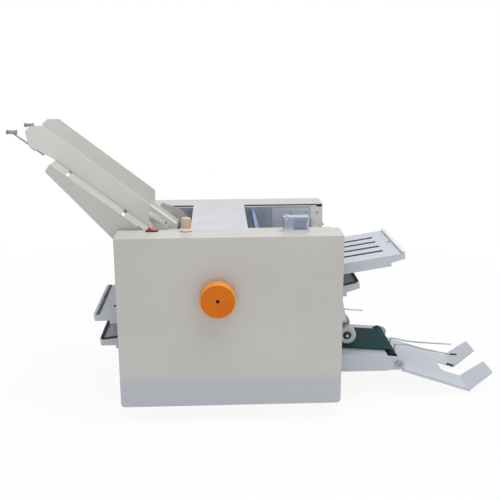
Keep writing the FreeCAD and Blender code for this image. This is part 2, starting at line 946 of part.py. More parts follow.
def blue_cross_bar():
    top = casing_top - blue_bar_top_drop
    bar = box(
        blue_bar_x - blue_bar_width / 2,
        blue_bar_x + blue_bar_width / 2,
        -frame_inner,
        frame_inner,
        top - blue_bar_depth,
        top,
    )
    return round_edges(bar, cover_edge_radius, lambda edge: runs_along(edge, 1))


def top_plate():
    """The plate over the rollers, with a lip folded down at each end."""
    half = cover_inner - top_plate_edge_gap
    plate = box(top_plate_left, top_plate_right, -half, half, frame_top, casing_top)
    lip_half = frame_inner - top_plate_edge_gap
    for x in (top_plate_left, top_plate_right - top_sheet):
        plate = plate.fuse(box(x, x + top_sheet, -lip_half, lip_half, casing_top - top_plate_lip, frame_top))
    plate = plate.removeSplitter()

    def is_top_end(edge):
        return runs_along(edge, 1) and edge_middle(edge).z > casing_top - top_sheet / 2

    return round_edges(plate, cover_edge_radius, is_top_end)


def frame_bushes():
    """Flanged bushes in both frame plates, each with its flange on the outer face."""
    bushes = []
    for place, radius in bearing_places():
        bore = radius + running_clearance
        sleeve = ring_along_y(place, bush_radius, bore, -frame_outer, -frame_inner)
        flange = ring_along_y(place, bush_flange_radius, bore, -frame_outer - bush_flange, -frame_outer)
        bush = sleeve.fuse(flange).removeSplitter()
        bushes.append(bush)
        bushes.append(mirrored(bush))
    return bushes


# Rollers, gears and handwheel

def stepped_shaft(place, body_radius, body_half, neck_radius, near_end, far_end):
    """A roller body with journals that run out to both ends."""
    body = rod_along_y(place[0], place[1], body_radius, -body_half, body_half)
    journal = rod_along_y(place[0], place[1], neck_radius, near_end, far_end)
    return body.fuse(journal).removeSplitter()


shaft_near_end = gear_near - gear_hub_length - journal_overrun
shaft_far_end = frame_outer + bush_flange + journal_overrun


def fold_roller(index):
    """A grooved fold roller. The first one's shaft runs on to the handwheel."""
    place = rollers[index]
    roller = stepped_shaft(place, roller_radius, roller_half, journal_radius, shaft_near_end, shaft_far_end)
    pitch = roller_length / (roller_groove_count + 1)
    grooves = []
    for count in range(1, roller_groove_count + 1):
        y = -roller_half + count * pitch
        ring = ring_along_y(
            place,
            roller_radius + cut_overrun,
            roller_radius - roller_groove_depth,
            y - roller_groove_width / 2,
            y + roller_groove_width / 2,
        )
        grooves.append(ring)
    roller = roller.cut(grooves)
    if index == 0:
        end = -(handwheel_front - handwheel_socket_depth)
        roller = roller.fuse(rod_along_y(place[0], place[1], handwheel_bore_radius, end, shaft_near_end))
        roller = roller.removeSplitter()
    return roller


def handwheel():
    """The round handwheel: a rim with soft edges, a shallow dish, a socket in the middle and a hub."""
    x, z = rollers[0]
    front = -handwheel_front
    back = front + handwheel_rim_depth
    rim = rod_along_y(x, z, handwheel_radius, front, back)
    rim = round_edges(rim, handwheel_edge_radius, lambda edge: edge.Curve.TypeId == "Part::GeomCircle")
    dish = rod_along_y(x, z, handwheel_dish_radius, front - cut_overrun, front + handwheel_dish_depth)
    hub = rod_along_y(x, z, handwheel_hub_radius, back, back + handwheel_hub_length)
    bore = rod_along_y(
        x, z, handwheel_bore_radius, front + handwheel_socket_depth, back + handwheel_hub_length + cut_overrun
    )
    socket = rod_along_y(x, z, handwheel_socket_radius, front - cut_overrun, front + handwheel_socket_depth)
    return rim.fuse(hub).removeSplitter().cut([dish, bore, socket])


def idler_gear():
    """The idler gear, on a pin that is pressed into the near frame plate."""
    return hubbed_gear(idler_place, idler_teeth, idler_angle, idler_pin_radius + running_clearance)


def feed_shaft():
    """The feed shaft with its hub and its gear."""
    shaft = stepped_shaft(
        feed_place, feed_hub_radius, feed_roller_length / 2, journal_radius, shaft_near_end, shaft_far_end
    )
    wheel = hubbed_gear(feed_place, feed_gear_teeth, feed_gear_angle, 0)
    return shaft.fuse(wheel).removeSplitter()


def feed_roller():
    """The rubber tyre of the feed roller."""
    return ring_along_y(
        feed_place, feed_roller_radius, feed_hub_radius, -feed_roller_length / 2, feed_roller_length / 2
    )


# Feed tray

def skirt_screw_places():
    """Screws that hold each skirt to its frame plate, in the feed tray's slanted frame."""
    places = []
    for count in range(2):
        length = skirt_lower_reach - skirt_corner_radius * 2 - count * skirt_screw_pitch
        places.append((length, -skirt_lower_depth + skirt_corner_radius * 2))
    return places


def guide_slot(place, side):
    """A cross slot in the tray's floor, for one guide stud."""
    half = guide_stud_radius + sliding_clearance
    y0, y1 = sorted((side * guide_slot_inner, side * guide_slot_outer))
    return box(place - half, place + half, y0, y1, -feed_sheet - cut_overrun, cut_overrun)


def feed_tray():
    """Floor, side skirts and chute of the feed tray, folded from one sheet."""
    wide = frame_outer + feed_sheet
    narrow = frame_inner - feed_inner_gap
    upper_floor = box(-feed_upper_length, -feed_step_back, -wide, wide, -feed_sheet, 0)
    lower_floor = box(-feed_step_back, feed_lower_length, -narrow, narrow, -feed_sheet, 0)
    skirt_outline = [
        (-feed_upper_length, 0),
        (-feed_step_back, 0),
        (skirt_lower_reach, -skirt_lower_reach * math.tan(feed_slope) - skirt_upper_depth),
        (skirt_lower_reach, -skirt_lower_depth),
        (-feed_upper_length, -skirt_upper_depth),
    ]
    skirt = plate_in_xz(skirt_outline, -wide, -wide + feed_sheet)

    def is_tip(edge):
        at_end = edge_middle(edge).x < -feed_upper_length + feed_sheet
        return runs_along(edge, 1) and at_end and edge_middle(edge).z < -feed_sheet

    skirt = round_edges(skirt, skirt_corner_radius, is_tip)
    wall_outline = [
        (throat_wall_start, 0),
        (throat_wall_start, throat_wall_start_height),
        (throat_wall_bend_place, throat_wall_bend_height),
        (throat_wall_crown_place, throat_wall_crown_height),
        (throat_wall_end, throat_wall_end_height),
        (throat_wall_end, 0),
    ]
    wall = plate_in_xz(wall_outline, -narrow, -narrow + feed_sheet)

    def is_wall_corner(edge):
        if edge_middle(edge).x < throat_wall_bend_place or edge_middle(edge).z < throat_wall_end_height / 2:
            return False
        return runs_along(edge, 1)

    wall = round_edges(wall, throat_wall_corner_radius, is_wall_corner)
    pieces = [lower_floor, skirt, mirrored(skirt), wall, mirrored(wall)]
    tray = upper_floor.fuse(pieces).removeSplitter()
    pad_half_length = pad_length / 2
    pad_half_width = pad_width / 2
    cuts = [
        box(
            feed_roller_length_place - pad_half_length,
            feed_roller_length_place + pad_half_length,
            -pad_half_width,
            pad_half_width,
            -feed_sheet - cut_overrun,
            cut_overrun,
        )
    ]
    for place in (guide_slot_upper_place, guide_slot_lower_place):
        cuts.append(guide_slot(place, -1))
        cuts.append(guide_slot(place, 1))
    screw_hole_radius = screw_shank_radius + screw_hole_gap
    y0 = -wide - cut_overrun
    y1 = wide + cut_overrun
    for length, height in skirt_screw_places():
        cuts.append(rod_along_y(length, height, screw_hole_radius, y0, y1))
    bar_height = holder_height - holder_lug_radius
    cuts.append(rod_along_y(holder_bar_place, bar_height, holder_bar_radius, y0, y1))
    tray = from_feed(tray.cut(cuts))
    top = feed_point(feed_lower_length, 0)
    low = feed_point(feed_lower_length, -feed_sheet)
    bend = (chute_bend_x, lift + chute_bend_height)
    end = (chute_end_x, lift + chute_end_height)
    below = chute_sheet / math.cos(feed_slope)
    end_below = (end[0] - below, end[1])
    bend_below = (bend[0] - below, bend[1] - below / 2)
    chute = plate_in_xz([low, top, bend, end, end_below, bend_below], -narrow, narrow)
    return tray.fuse(chute).removeSplitter()


def tray_screws():
    """Pan screws that hold the skirts to the frame plates."""
    screws = []
    for length, height in skirt_screw_places():
        x, z = feed_point(length, height)
        face = frame_outer + feed_sheet
        shank = rod_along_y(x, z, screw_shank_radius, face + feed_sheet - screw_length, face)
        head = rod_along_y(x, z, screw_head_radius, face, face + screw_head_height)
        screw = head.fuse(shank).removeSplitter()
        screws.append(screw)
        screws.append(mirrored(screw))
    return screws


def separator_pad():
    """The rubber pad under the feed roller, with a flange that seats on the floor's underside."""
    half_length = pad_length / 2
    half_width = pad_width / 2
    place = feed_roller_length_place
    core = box(
        place - half_length, place + half_length, -half_width, half_width,
        -feed_sheet - pad_flange_thickness, -pad_drop,
    )
    flange = box(
        place - half_length - pad_flange, place + half_length + pad_flange,
        -half_width - pad_flange, half_width + pad_flange,
        -feed_sheet - pad_flange_thickness, -feed_sheet,
    )
    return from_feed(core.fuse(flange).removeSplitter())


def sheet_holder():
    """The channel over the throat that keeps the sheets down, on two lugs."""
    half = holder_width / 2
    web_top = holder_height + holder_sheet
    web = box(holder_upper_place, holder_lower_place, -half, half, holder_height, web_top)
    flange = box(
        holder_upper_place, holder_lower_place, -half, -half + holder_sheet,
        holder_height, holder_height + holder_flange,
    )
    pieces = [flange, mirrored(flange)]
    bar_height = holder_height - holder_lug_radius
    for y in (-half, half - holder_lug_thickness):
        lug = rod_along_y(holder_bar_place, bar_height, holder_lug_radius, y, y + holder_lug_thickness)
        block = box(
            holder_bar_place - holder_lug_radius, holder_bar_place + holder_lug_radius,
            y, y + holder_lug_thickness, bar_height, holder_height,
        )
        pieces += [lug, block]
    holder = web.fuse(pieces).removeSplitter()
    hole_half = half + cut_overrun
    bar_hole = rod_along_y(holder_bar_place, bar_height, holder_bar_radius, -hole_half, hole_half)
    return from_feed(holder.cut(bar_hole))


# Paper guides

def beyond_tray(reach):
    """A place beyond the feed tray's upper end, in the tray's slanted frame."""
    return -feed_upper_length - reach


def guide(face, inward):
    """A paper guide: an upright fence, a foot on the floor and two studs that slide in the floor's slots."""
    y0, y1 = sorted((face, face + inward * guide_sheet))
    outline = [
        (guide_lower_end, sliding_clearance),
        (guide_lower_end - guide_lower_lean, guide_height),
        (beyond_tray(guide_top_reach), guide_height + guide_top_rise),
        (beyond_tray(guide_shoulder_reach), guide_shoulder_height),
        (beyond_tray(guide_tip_reach), guide_tip_height),
        (beyond_tray(guide_heel_reach), -guide_heel_drop),
        (beyond_tray(guide_knee_reach), -guide_knee_drop),
        (-feed_upper_length, sliding_clearance),
    ]
    fence = plate_in_xz(outline, y0, y1)

    def is_free_corner(edge):
        middle = edge_middle(edge)
        return runs_along(edge, 1) and (middle.x < beyond_tray(guide_knee_reach) or middle.z > guide_height / 2)

    fence = round_edges(fence, guide_corner_radius, is_free_corner)
    foot_y0, foot_y1 = sorted((face, face + inward * guide_foot_width))
    foot = box(
        -feed_upper_length, guide_lower_end, foot_y0, foot_y1,
        sliding_clearance, sliding_clearance + guide_sheet,
    )
    pieces = [foot]
    stud_y = face + inward * guide_foot_width / 2
    nut_top = -feed_sheet - sliding_clearance
    nut_low = nut_top - guide_nut_height
    foot_top = sliding_clearance + guide_sheet
    for place in (guide_slot_upper_place, guide_slot_lower_place):
        pieces.append(rod_along_z(place, stud_y, guide_stud_radius, nut_low, foot_top))
        pieces.append(rod_along_z(place, stud_y, guide_nut_radius, nut_low, nut_top))
    clamp_start = beyond_tray(rod_clamp_reach)
    clamp_end = clamp_start + rod_clamp_length
    clamp_y0, clamp_y1 = sorted((face + inward * guide_sheet, face + inward * (guide_sheet + rod_clamp_side)))
    clamp = box(
        clamp_start, clamp_end, clamp_y0, clamp_y1,
        -rod_drop - rod_clamp_side / 2, -rod_drop + rod_clamp_side / 2,
    )
    pieces.append(clamp)
    body = fence.fuse(pieces).removeSplitter()
    rod_y = face + inward * (guide_sheet + rod_clamp_side / 2)
    bore_start = (clamp_start - cut_overrun, rod_y, -rod_drop)
    bore_end = (clamp_end + cut_overrun, rod_y, -rod_drop)
    bore = rod_between(bore_start, bore_end, rod_radius + running_clearance)
    return from_feed(body.cut(bore))


def guide_rod(face, inward):
    """The pull-out rod of a guide. Its end carries a level grip sleeve with a rib at each end."""
    y = face + inward * (guide_sheet + rod_clamp_side / 2)
    outer = beyond_tray(rod_outer_reach)
    inner = beyond_tray(rod_inner_reach)
    rod = from_feed(rod_between((outer, y, -rod_drop), (inner, y, -rod_drop), rod_radius))
    grip_x, grip_z = feed_point(outer, -rod_drop)
    sleeve_start = grip_x - rod_sleeve_length / 2
    sleeve_end = grip_x + rod_sleeve_length / 2
    pieces = [rod_between((sleeve_start, y, grip_z), (sleeve_end, y, grip_z), rod_sleeve_neck_radius)]
    for start in (sleeve_start, sleeve_end - rod_sleeve_rib_length):
        end = (start + rod_sleeve_rib_length, y, grip_z)
        pieces.append(rod_between((start, y, grip_z), end, rod_sleeve_radius))
    return rod.fuse(pieces).removeSplitter()


# Fold plates and their stops

def fold_plate(side, mouth_x, end_x, mouth_z, slope):
    """Two sheets with a paper gap between them, in side rails that a raised end rim closes."""
    length = (end_x - mouth_x) * side / math.cos(math.radians(slope))
    sheet_end = length - plate_rim_length
    half = plate_width / 2
    inner = half - plate_rail
    gap_top = plate_paper_gap / 2
    deck_top = gap_top + plate_sheet
    deck = box(0, sheet_end, -inner, inner, gap_top, deck_top)
    under_sheet = box(0, sheet_end, -inner, inner, -gap_top - plate_sheet, -gap_top)
    cuts = []
    for count in range(plate_slot_count):
        y = (count - (plate_slot_count - 1) / 2) * plate_slot_pitch
        slot = box(
            plate_slot_inner_gap, length - plate_slot_outer_gap,
            y - plate_slot_width / 2, y + plate_slot_width / 2,
            gap_top - cut_overrun, deck_top + cut_overrun,
        )
        cuts.append(slot)
    screw_place = length - plate_screw_inset
    cuts.append(rod_along_z(screw_place, 0, screw_shank_radius, gap_top, deck_top + cut_overrun))
    deck = deck.cut(cuts)
    tip_start = length - plate_tip_length
    rim_low = deck_top - plate_rim_depth
    rail_outline = [
        (0, deck_top),
        (sheet_end, deck_top),
        (sheet_end, rim_low),
        (tip_start, deck_top - plate_tip_rail_depth),
        (tip_start, deck_top - plate_rail_depth),
        (0, deck_top - plate_rail_depth),
    ]
    rail = plate_in_xz(rail_outline, -half, -inner)
    rim = box(sheet_end, length, -half, half, rim_low, deck_top + plate_rim_rise)

    def is_outer_corner(edge):
        return runs_along(edge, 2) and edge_middle(edge).x > length - plate_rim_length / 2

    def is_top_edge(edge):
        return edge_middle(edge).z > deck_top + plate_rim_rise / 2 and not runs_along(edge, 2)

    rim = round_edges(rim, plate_rim_corner_radius, is_outer_corner)
    rim = round_edges(rim, plate_rim_edge_radius, is_top_edge)
    plate = deck.fuse([under_sheet, rail, mirrored(rail), rim]).removeSplitter()
    return place_plate(plate, side, mouth_x, mouth_z, slope)


def paper_stop(side, mouth_x, mouth_z, slope):
    """The bar that stops the sheet, with two posts through the slots, a bridge and a clamp knob."""
    gap_top = plate_paper_gap / 2
    deck_top = gap_top + plate_sheet
    half = plate_width / 2 - plate_rail - stop_bar_side_gap
    bar_half = stop_bar_length / 2
    bar = box(
        stop_place - bar_half, stop_place + bar_half, -half, half,
        -gap_top + sliding_clearance, gap_top - sliding_clearance,
    )
    post_side = plate_slot_pitch * 3 / 2
    bridge_half = stop_bridge_length / 2
    bridge_low = deck_top + sliding_clearance
    bridge_high = bridge_low + stop_bridge_height
    bridge_side = post_side + bridge_half
    bridge = box(
        stop_place - bridge_half, stop_place + bridge_half, -bridge_side, bridge_side, bridge_low, bridge_high
    )
    pieces = [bridge]
    for y in (-post_side, post_side):
        pieces.append(rod_along_z(stop_place, y, stop_post_radius, -gap_top + sliding_clearance, bridge_high))
    knob = rod_along_z(stop_place, 0, stop_knob_radius, bridge_high, bridge_high + stop_knob_height)
    grooves = []
    groove_top = bridge_high + stop_knob_height + cut_overrun
    for count in range(stop_knob_grooves):
        angle = 2 * math.pi * count / stop_knob_grooves
        x = stop_place + stop_knob_radius * math.cos(angle)
        y = stop_knob_radius * math.sin(angle)
        grooves.append(rod_along_z(x, y, stop_knob_groove_radius, bridge_high, groove_top))
    pieces.append(knob.cut(grooves))
    stop = bar.fuse(pieces).removeSplitter()
    return place_plate(stop, side, mouth_x, mouth_z, slope)


# Delivery

def channel_web():
    """The near upright web: its left end rises round the drive journal, its right end is round the pivot."""
    outer = channel_outer_width / 2
    low = lift + channel_bottom_height
    pivot_z = lift + tray_pivot_height
    step_x = belt_drive_x + belt_outer_radius + deck_end_gap
    outline = [
        (channel_left_x, low),
        (tray_pivot_x, pivot_z - channel_end_radius),
        (tray_pivot_x, pivot_z + channel_end_radius),
        (tray_pivot_x - channel_end_radius, channel_top_at(tray_pivot_x - channel_end_radius)),
        (step_x, channel_top_at(step_x)),
        (step_x, channel_top_at(step_x) + channel_raised_edge),
        (channel_left_x, channel_top_at(channel_left_x) + channel_raised_edge),
    ]
    web = plate_in_xz(outline, -outer, -outer + channel_sheet)
    end = rod_along_y(tray_pivot_x, pivot_z, channel_end_radius, -outer, -outer + channel_sheet)
    return web.fuse(end)


def slanted_sheet(x0, x1, y0, y1, low, high):
    """A sheet that follows the deck's slope, from one height above the deck's upper face to another."""
    return plate_in_xz(
        [
            (x0, channel_top_at(x0) + low),
            (x1, channel_top_at(x1) + low),
            (x1, channel_top_at(x1) + high),
            (x0, channel_top_at(x0) + high),
        ],
        y0,
        y1,
    )


def delivery_frame():
    """The deck between the belt's two runs, the webs it is bent into, and the strips beside the nose."""
    outer = channel_outer_width / 2
    deck_start = belt_drive_x + belt_outer_radius + deck_end_gap
    deck_end = belt_nose_x - belt_outer_radius - deck_end_gap
    low = lift + channel_bottom_height
    deck = slanted_sheet(deck_start, deck_end, -outer, outer, -channel_sheet, 0)
    bed = slanted_sheet(deck_start, deck_end, -bed_width / 2, bed_width / 2, 0, bed_rise / math.cos(belt_slope))
    strip_end = tray_pivot_x - deck_strip_end_gap
    strip = slanted_sheet(deck_end, strip_end, -outer, -outer + deck_strip_width, -channel_sheet, 0)

    def is_strip_corner(edge):
        middle = edge_middle(edge)
        box_of_edge = edge.BoundBox
        upright = max(box_of_edge.XLength, box_of_edge.YLength) < channel_sheet / 2
        return upright and middle.x > strip_end - channel_sheet and middle.y > deck_strip_width / 2 - outer

    strip = round_edges(strip, deck_strip_corner_radius, is_strip_corner)
    low_flange = box(channel_left_x, deck_end, -outer, -outer + channel_low_flange, low, low + channel_sheet)
    near_half = [channel_web(), strip, low_flange]
    for x in (channel_boss_left_x, channel_boss_right_x):
        near_half.append(
            rod_along_y(x, lift + channel_boss_height, channel_boss_radius, -frame_inner, -outer)
        )
    pieces = near_half + [mirrored(piece) for piece in near_half]
    frame = deck.fuse([bed] + pieces).removeSplitter()
    holes = []
    for place, radius in (
        (belt_drive_place, delivery_journal_radius + running_clearance),
        (belt_nose_place, nose_journal_radius + running_clearance),
        ((tray_pivot_x, lift + tray_pivot_height), pivot_bolt_radius),
    ):
        holes.append(
            rod_along_y(place[0], place[1], radius, -outer - cut_overrun, outer + cut_overrun)
        )
    return frame.cut(holes)


def delivery_belt():
    """The endless green belt round the two rollers."""
    half = belt_width / 2
    inner_radius = belt_outer_radius - belt_thickness

    def loop(radius, y0, y1):
        run_x = belt_nose_place[0] - belt_drive_place[0]
        run_z = belt_nose_place[1] - belt_drive_place[1]
        run = math.hypot(run_x, run_z)
        across_x = -run_z * radius / run
        across_z = run_x * radius / run
        strip = plate_in_xz(
            [
                (belt_drive_place[0] + across_x, belt_drive_place[1] + across_z),
                (belt_nose_place[0] + across_x, belt_nose_place[1] + across_z),
                (belt_nose_place[0] - across_x, belt_nose_place[1] - across_z),
                (belt_drive_place[0] - across_x, belt_drive_place[1] - across_z),
            ],
            y0,
            y1,
        )
        ends = [rod_along_y(x, z, radius, y0, y1) for x, z in (belt_drive_place, belt_nose_place)]
        return strip.fuse(ends).removeSplitter()

    hollow = loop(inner_radius, -half - cut_overrun, half + cut_overrun)
    return loop(belt_outer_radius, -half, half).cut(hollow)


belt_roller_radius = belt_outer_radius - belt_thickness - belt_gap


def delivery_drive_roller():
    """The driven belt roller with its gear."""
    roller = stepped_shaft(
        belt_drive_place, belt_roller_radius, belt_roller_length / 2,
        delivery_journal_radius, shaft_near_end, shaft_far_end,
    )
    wheel = hubbed_gear(belt_drive_place, delivery_gear_teeth, delivery_gear_angle, 0)
    return roller.fuse(wheel).removeSplitter()


def delivery_nose_roller():
    """The free belt roller at the nose, with a black cap at each side of the belt."""
    outer = channel_outer_width / 2
    roller = stepped_shaft(
        belt_nose_place, belt_roller_radius, belt_roller_length / 2, nose_journal_radius, -outer, outer
    )
    cap_start = belt_width / 2 + belt_gap
    x, z = belt_nose_place
    cap = rod_along_y(x, z, belt_outer_radius - belt_gap, -cap_start - nose_cap_length, -cap_start)
    neck = rod_along_y(x, z, belt_roller_radius, -cap_start, -belt_roller_length / 2)
    return roller.fuse([cap, mirrored(cap), neck, mirrored(neck)]).removeSplitter()


def press_wheels():
    """The two white wheels that hold the folded sheets on the belt."""
    outer = press_wheel_outer_face
    wheel = ring_along_y(
        (press_axle_x, press_axle_z), press_wheel_radius, press_axle_radius + running_clearance,
        -outer, -outer + press_wheel_width,
    )
    recess = ring_along_y(
        (press_axle_x, press_axle_z), press_wheel_hub_radius, press_axle_radius + sliding_clearance,
        -outer - cut_overrun, -outer + press_wheel_hub_recess,
    )
    wheel = wheel.cut(recess)
    return [wheel, mirrored(wheel)]


def press_arm_bar(start, end):
    """A flat link with round ends, between two places."""
    gap_x = end[0] - start[0]
    gap_z = end[1] - start[1]
    gap = math.hypot(gap_x, gap_z)
    side_x = -gap_z / gap * press_arm_half_width
    side_z = gap_x / gap * press_arm_half_width
    y0 = -press_arm_inner_face - press_arm_sheet
    y1 = -press_arm_inner_face
    strip = plate_in_xz(
        [
            (start[0] + side_x, start[1] + side_z),
            (end[0] + side_x, end[1] + side_z),
            (end[0] - side_x, end[1] - side_z),
            (start[0] - side_x, start[1] - side_z),
        ],
        y0,
        y1,
    )
    ends = [rod_along_y(place[0], place[1], press_arm_half_width, y0, y1) for place in (start, end)]
    return strip.fuse(ends)


def press_arms():
    """Two cranked arms on a tube round the pivot bar, with the wheels' axle and a lifting rod."""
    pivot = (press_pivot_x, lift + press_pivot_height)
    knee = (press_arm_knee_x, lift + press_arm_knee_height)
    arm = press_arm_bar(pivot, knee).fuse(press_arm_bar(knee, (press_axle_x, press_axle_z)))
    tube_half = -press_lever_y + press_arm_half_width
    tube = rod_along_y(pivot[0], pivot[1], press_arm_half_width, -tube_half, tube_half)
    lever_start = (pivot[0], press_lever_y, pivot[1])
    lever_end = (press_lever_end_x, press_lever_y, pivot[1] - press_lever_drop)
    lever = rod_between(lever_start, lever_end, press_lever_radius)
    axle = rod_along_y(press_axle_x, press_axle_z, press_axle_radius, -press_axle_end, press_axle_end)
    body = tube.fuse([arm, mirrored(arm), lever, axle]).removeSplitter()
    pivot_hole = rod_along_y(
        pivot[0], pivot[1], press_pivot_radius + running_clearance,
        -tube_half - cut_overrun, tube_half + cut_overrun,
    )
    return body.cut(pivot_hole)


# Stack tray, in its own slanted frame: length runs outward from the pivot

def from_tray(shape):
    return tilted(shape, -tray_slope_degrees, tray_pivot_x, lift + tray_pivot_height)


def stack_tray():
    """The sheet that catches the folded stack, with two tabs turned up at its end."""
    half = tray_width / 2
    neck = channel_outer_width / 2 - channel_sheet - tray_ear_gap
    top = -tray_floor_drop
    low = top - tray_sheet
    wide_floor = box(tray_wide_start, tray_length, -half, half, low, top)
    neck_floor = box(tray_sheet, tray_wide_start, -neck, neck, low, top)
    lip = box(tray_wide_start, tray_length, -half, -half + tray_sheet, top - tray_lip, top)
    ear_y0 = -neck
    ear_y1 = -neck + tray_sheet
    ear = rod_along_y(0, 0, tray_ear_radius, ear_y0, ear_y1)
    ear_arm = plate_in_xz(
        [
            (0, -tray_ear_radius),
            (tray_sheet, low),
            (tray_wide_start + tray_lip, low),
            (tray_wide_start + tray_lip, top + tray_lip / 2),
            (0, tray_ear_radius),
        ],
        ear_y0,
        ear_y1,
    )
    tray = wide_floor.fuse([neck_floor, lip, mirrored(lip), ear, ear_arm, mirrored(ear), mirrored(ear_arm)])
    notch_half = tray_notch_width / 2
    notch = box(
        tray_length - tray_notch_depth, tray_length + cut_overrun, -notch_half, notch_half,
        low - cut_overrun, top + cut_overrun,
    )

    def is_notch_corner(edge):
        return runs_along(edge, 2) and edge_middle(edge).x < tray_length - tray_notch_depth / 2

    notch = round_edges(notch, tray_notch_radius, is_notch_corner)
    pivot_hole = rod_along_y(0, 0, pivot_bolt_radius + running_clearance, -half, half)
    tray = tray.cut([notch, pivot_hole])
    tab_outline = [
        (0, notch_half),
        (0, half),
        (tray_tab_length, tray_tab_top_outer),
        (tray_tab_length, tray_tab_top_inner),
    ]
    tab = plate_in_xy(tab_outline, -tray_sheet, 0)

    def is_tab_top(edge):
        return runs_along(edge, 2) and edge_middle(edge).x > tray_tab_length / 2

    tab = round_edges(tab, tray_tab_corner_radius, is_tab_top)
    bend = tray_tab_rise_degrees + tray_slope_degrees
    tab = tilted(tab, bend, tray_length - tray_sheet * math.sin(math.radians(bend)), top)
    tray = from_tray(tray.fuse([tab, mirrored(tab)]).removeSplitter())
    wire_holes = []
    for y in (-wire_side, wire_side):
        high = lift + wire_top_height
        wire_holes.append(rod_along_z(wire_foot_x, y, wire_radius + running_clearance, 0, high))
    return tray.cut(wire_holes)


def pivot_bolts():
    """Socket-head bolts on which the stack tray tilts."""
    x = tray_pivot_x
    z = lift + tray_pivot_height
    outer = channel_outer_width / 2
    inner = outer - channel_sheet - tray_ear_gap - tray_sheet - sliding_clearance
    shank = rod_along_y(x, z, pivot_bolt_radius, -outer, -inner)
    head = rod_along_y(x, z, pivot_bolt_head_radius, -outer - pivot_bolt_head_height, -outer)
    head_middle = -outer - pivot_bolt_head_height / 2
    head = round_edges(head, pivot_bolt_head_height / 4, lambda edge: edge_middle(edge).y < head_middle)
    corners = []
    for count in range(6):
        corners.append(beyond((x, z), math.pi * count / 3, pivot_bolt_hex_radius))
    socket = plate_in_xz(corners, -outer - pivot_bolt_head_height - cut_overrun, head_middle)
    bolt = head.fuse(shank).removeSplitter().cut(socket)
    return [bolt, mirrored(bolt)]


def tray_floor_height(x):
    """Height of the stack tray's upper face at a place along the machine."""
    across = tray_floor_drop / math.cos(tray_slope)
    return lift + tray_pivot_height - across - (x - tray_pivot_x) * math.tan(tray_slope)


def support_wire(y, top_share, course):
    """One wire: a foot, a bend, a course through the given shares of reach and height, and a thicker tip."""
    foot_z = tray_floor_height(wire_foot_x) - tray_sheet * 2
    top_z = lift + wire_top_height * top_share
    bend_start = vector(wire_foot_x, y, top_z - wire_bend_radius)
    bend_end = vector(wire_foot_x + wire_bend_radius, y, top_z)
    share = math.sqrt(1 / 2)
    bend_drop = wire_bend_radius * (1 - share)
    bend_middle = vector(wire_foot_x + bend_drop, y, top_z - bend_drop)
    foot = Part.LineSegment(vector(wire_foot_x, y, foot_z), bend_start).toShape()
    bend = Part.Arc(bend_start, bend_middle, bend_end).toShape()
    circle = Part.Circle(vector(wire_foot_x, y, foot_z), vector(0, 0, 1), wire_radius)
    section = Part.Wire([circle.toShape()])
    wire = Part.Wire([foot, bend]).makePipeShell([section], True, False)
    pieces = []
    before = bend_end
    for reach_share, height_share in course:
        place = vector(wire_foot_x + wire_reach * reach_share, y, lift + wire_top_height * height_share)
        pieces.append(Part.makeSphere(wire_radius, before))
        pieces.append(rod_between(before, place, wire_radius))
        along = (place - before).normalize()
        before = place
    pieces.append(rod_between(before - along * wire_tip_length, before, wire_tip_radius))
    return wire.fuse(pieces).removeSplitter()


def support_wires():
    """Two bent wires that rise from the tray and hold the sheets up as they leave the belt."""
    near = support_wire(-wire_side, 1, near_wire_shares)
    far = support_wire(wire_side, far_wire_top_share, far_wire_shares)
    return [near, far]


# Switch, lamp and counter

def switch_housing():
    """The black frame and body of the rocker switch."""
    half_length = switch_length / 2
    half_width = switch_width / 2
    flange = box(
        switch_x - half_length, switch_x + half_length, switch_y - half_width, switch_y + half_width,
        casing_top, casing_top + switch_frame_height,
    )
    body = box(
        switch_x - half_length + switch_frame,
        switch_x + half_length - switch_frame,
        switch_y - half_width + switch_frame,
        switch_y + half_width - switch_frame,
        casing_top - switch_body_depth,
        casing_top,
    )
    wall = switch_frame * 2
    pocket = box(
        switch_x - half_length + wall,
        switch_x + half_length - wall,
        switch_y - half_width + wall,
        switch_y + half_width - wall,
        casing_top - switch_body_depth / 2,
        casing_top + switch_frame_height + cut_overrun,
    )
    pin_hole = rod_along_y(
        switch_x, casing_top, rocker_pin_radius + running_clearance,
        switch_y - half_width + switch_frame, switch_y + half_width - switch_frame,
    )
    return flange.fuse(body).removeSplitter().cut([pocket, pin_hole])


def rocker():
    """The red rocker, tipped up at its left end."""
    half_length = switch_length / 2 - switch_frame * 2 - rocker_gap
    half_width = switch_width / 2 - switch_frame * 2 - rocker_gap
    high = casing_top + rocker_rise
    low = casing_top + switch_frame_height + rocker_dip
    cheek = casing_top + switch_frame_height + rocker_gap
    flare = switch_length / 2 - rocker_gap
    outline = [
        (switch_x - half_length, casing_top - rocker_pin_radius),
        (switch_x, casing_top - rocker_pin_radius * 2),
        (switch_x + half_length, casing_top - rocker_pin_radius),
        (switch_x + half_length, cheek),
        (switch_x + flare, low),
        (switch_x, low + rocker_dip),
        (switch_x - half_length + rocker_lean, high),
        (switch_x - half_length, cheek),
    ]
    body = plate_in_xz(outline, switch_y - half_width, switch_y + half_width)
    pin_end = switch_width / 2 - switch_frame - rocker_gap
    pin = rod_along_y(switch_x, casing_top, rocker_pin_radius, switch_y - pin_end, switch_y + pin_end)
    return body.fuse(pin).removeSplitter()


def pilot_lamp_base():
    ring = rod_along_z(lamp_x, lamp_y, lamp_ring_radius, casing_top, casing_top + lamp_ring_height)
    ring_middle = casing_top + lamp_ring_height / 2
    ring = round_edges(ring, cover_edge_radius, lambda edge: edge_middle(edge).z > ring_middle)
    thread = rod_along_z(lamp_x, lamp_y, lamp_thread_radius, casing_top - lamp_thread_depth, casing_top)
    bulb = rod_along_z(
        lamp_x, lamp_y, lamp_bulb_radius, casing_top + lamp_ring_height,
        casing_top + lamp_ring_height + lamp_bulb_height,
    )
    return ring.fuse([thread, bulb]).removeSplitter()


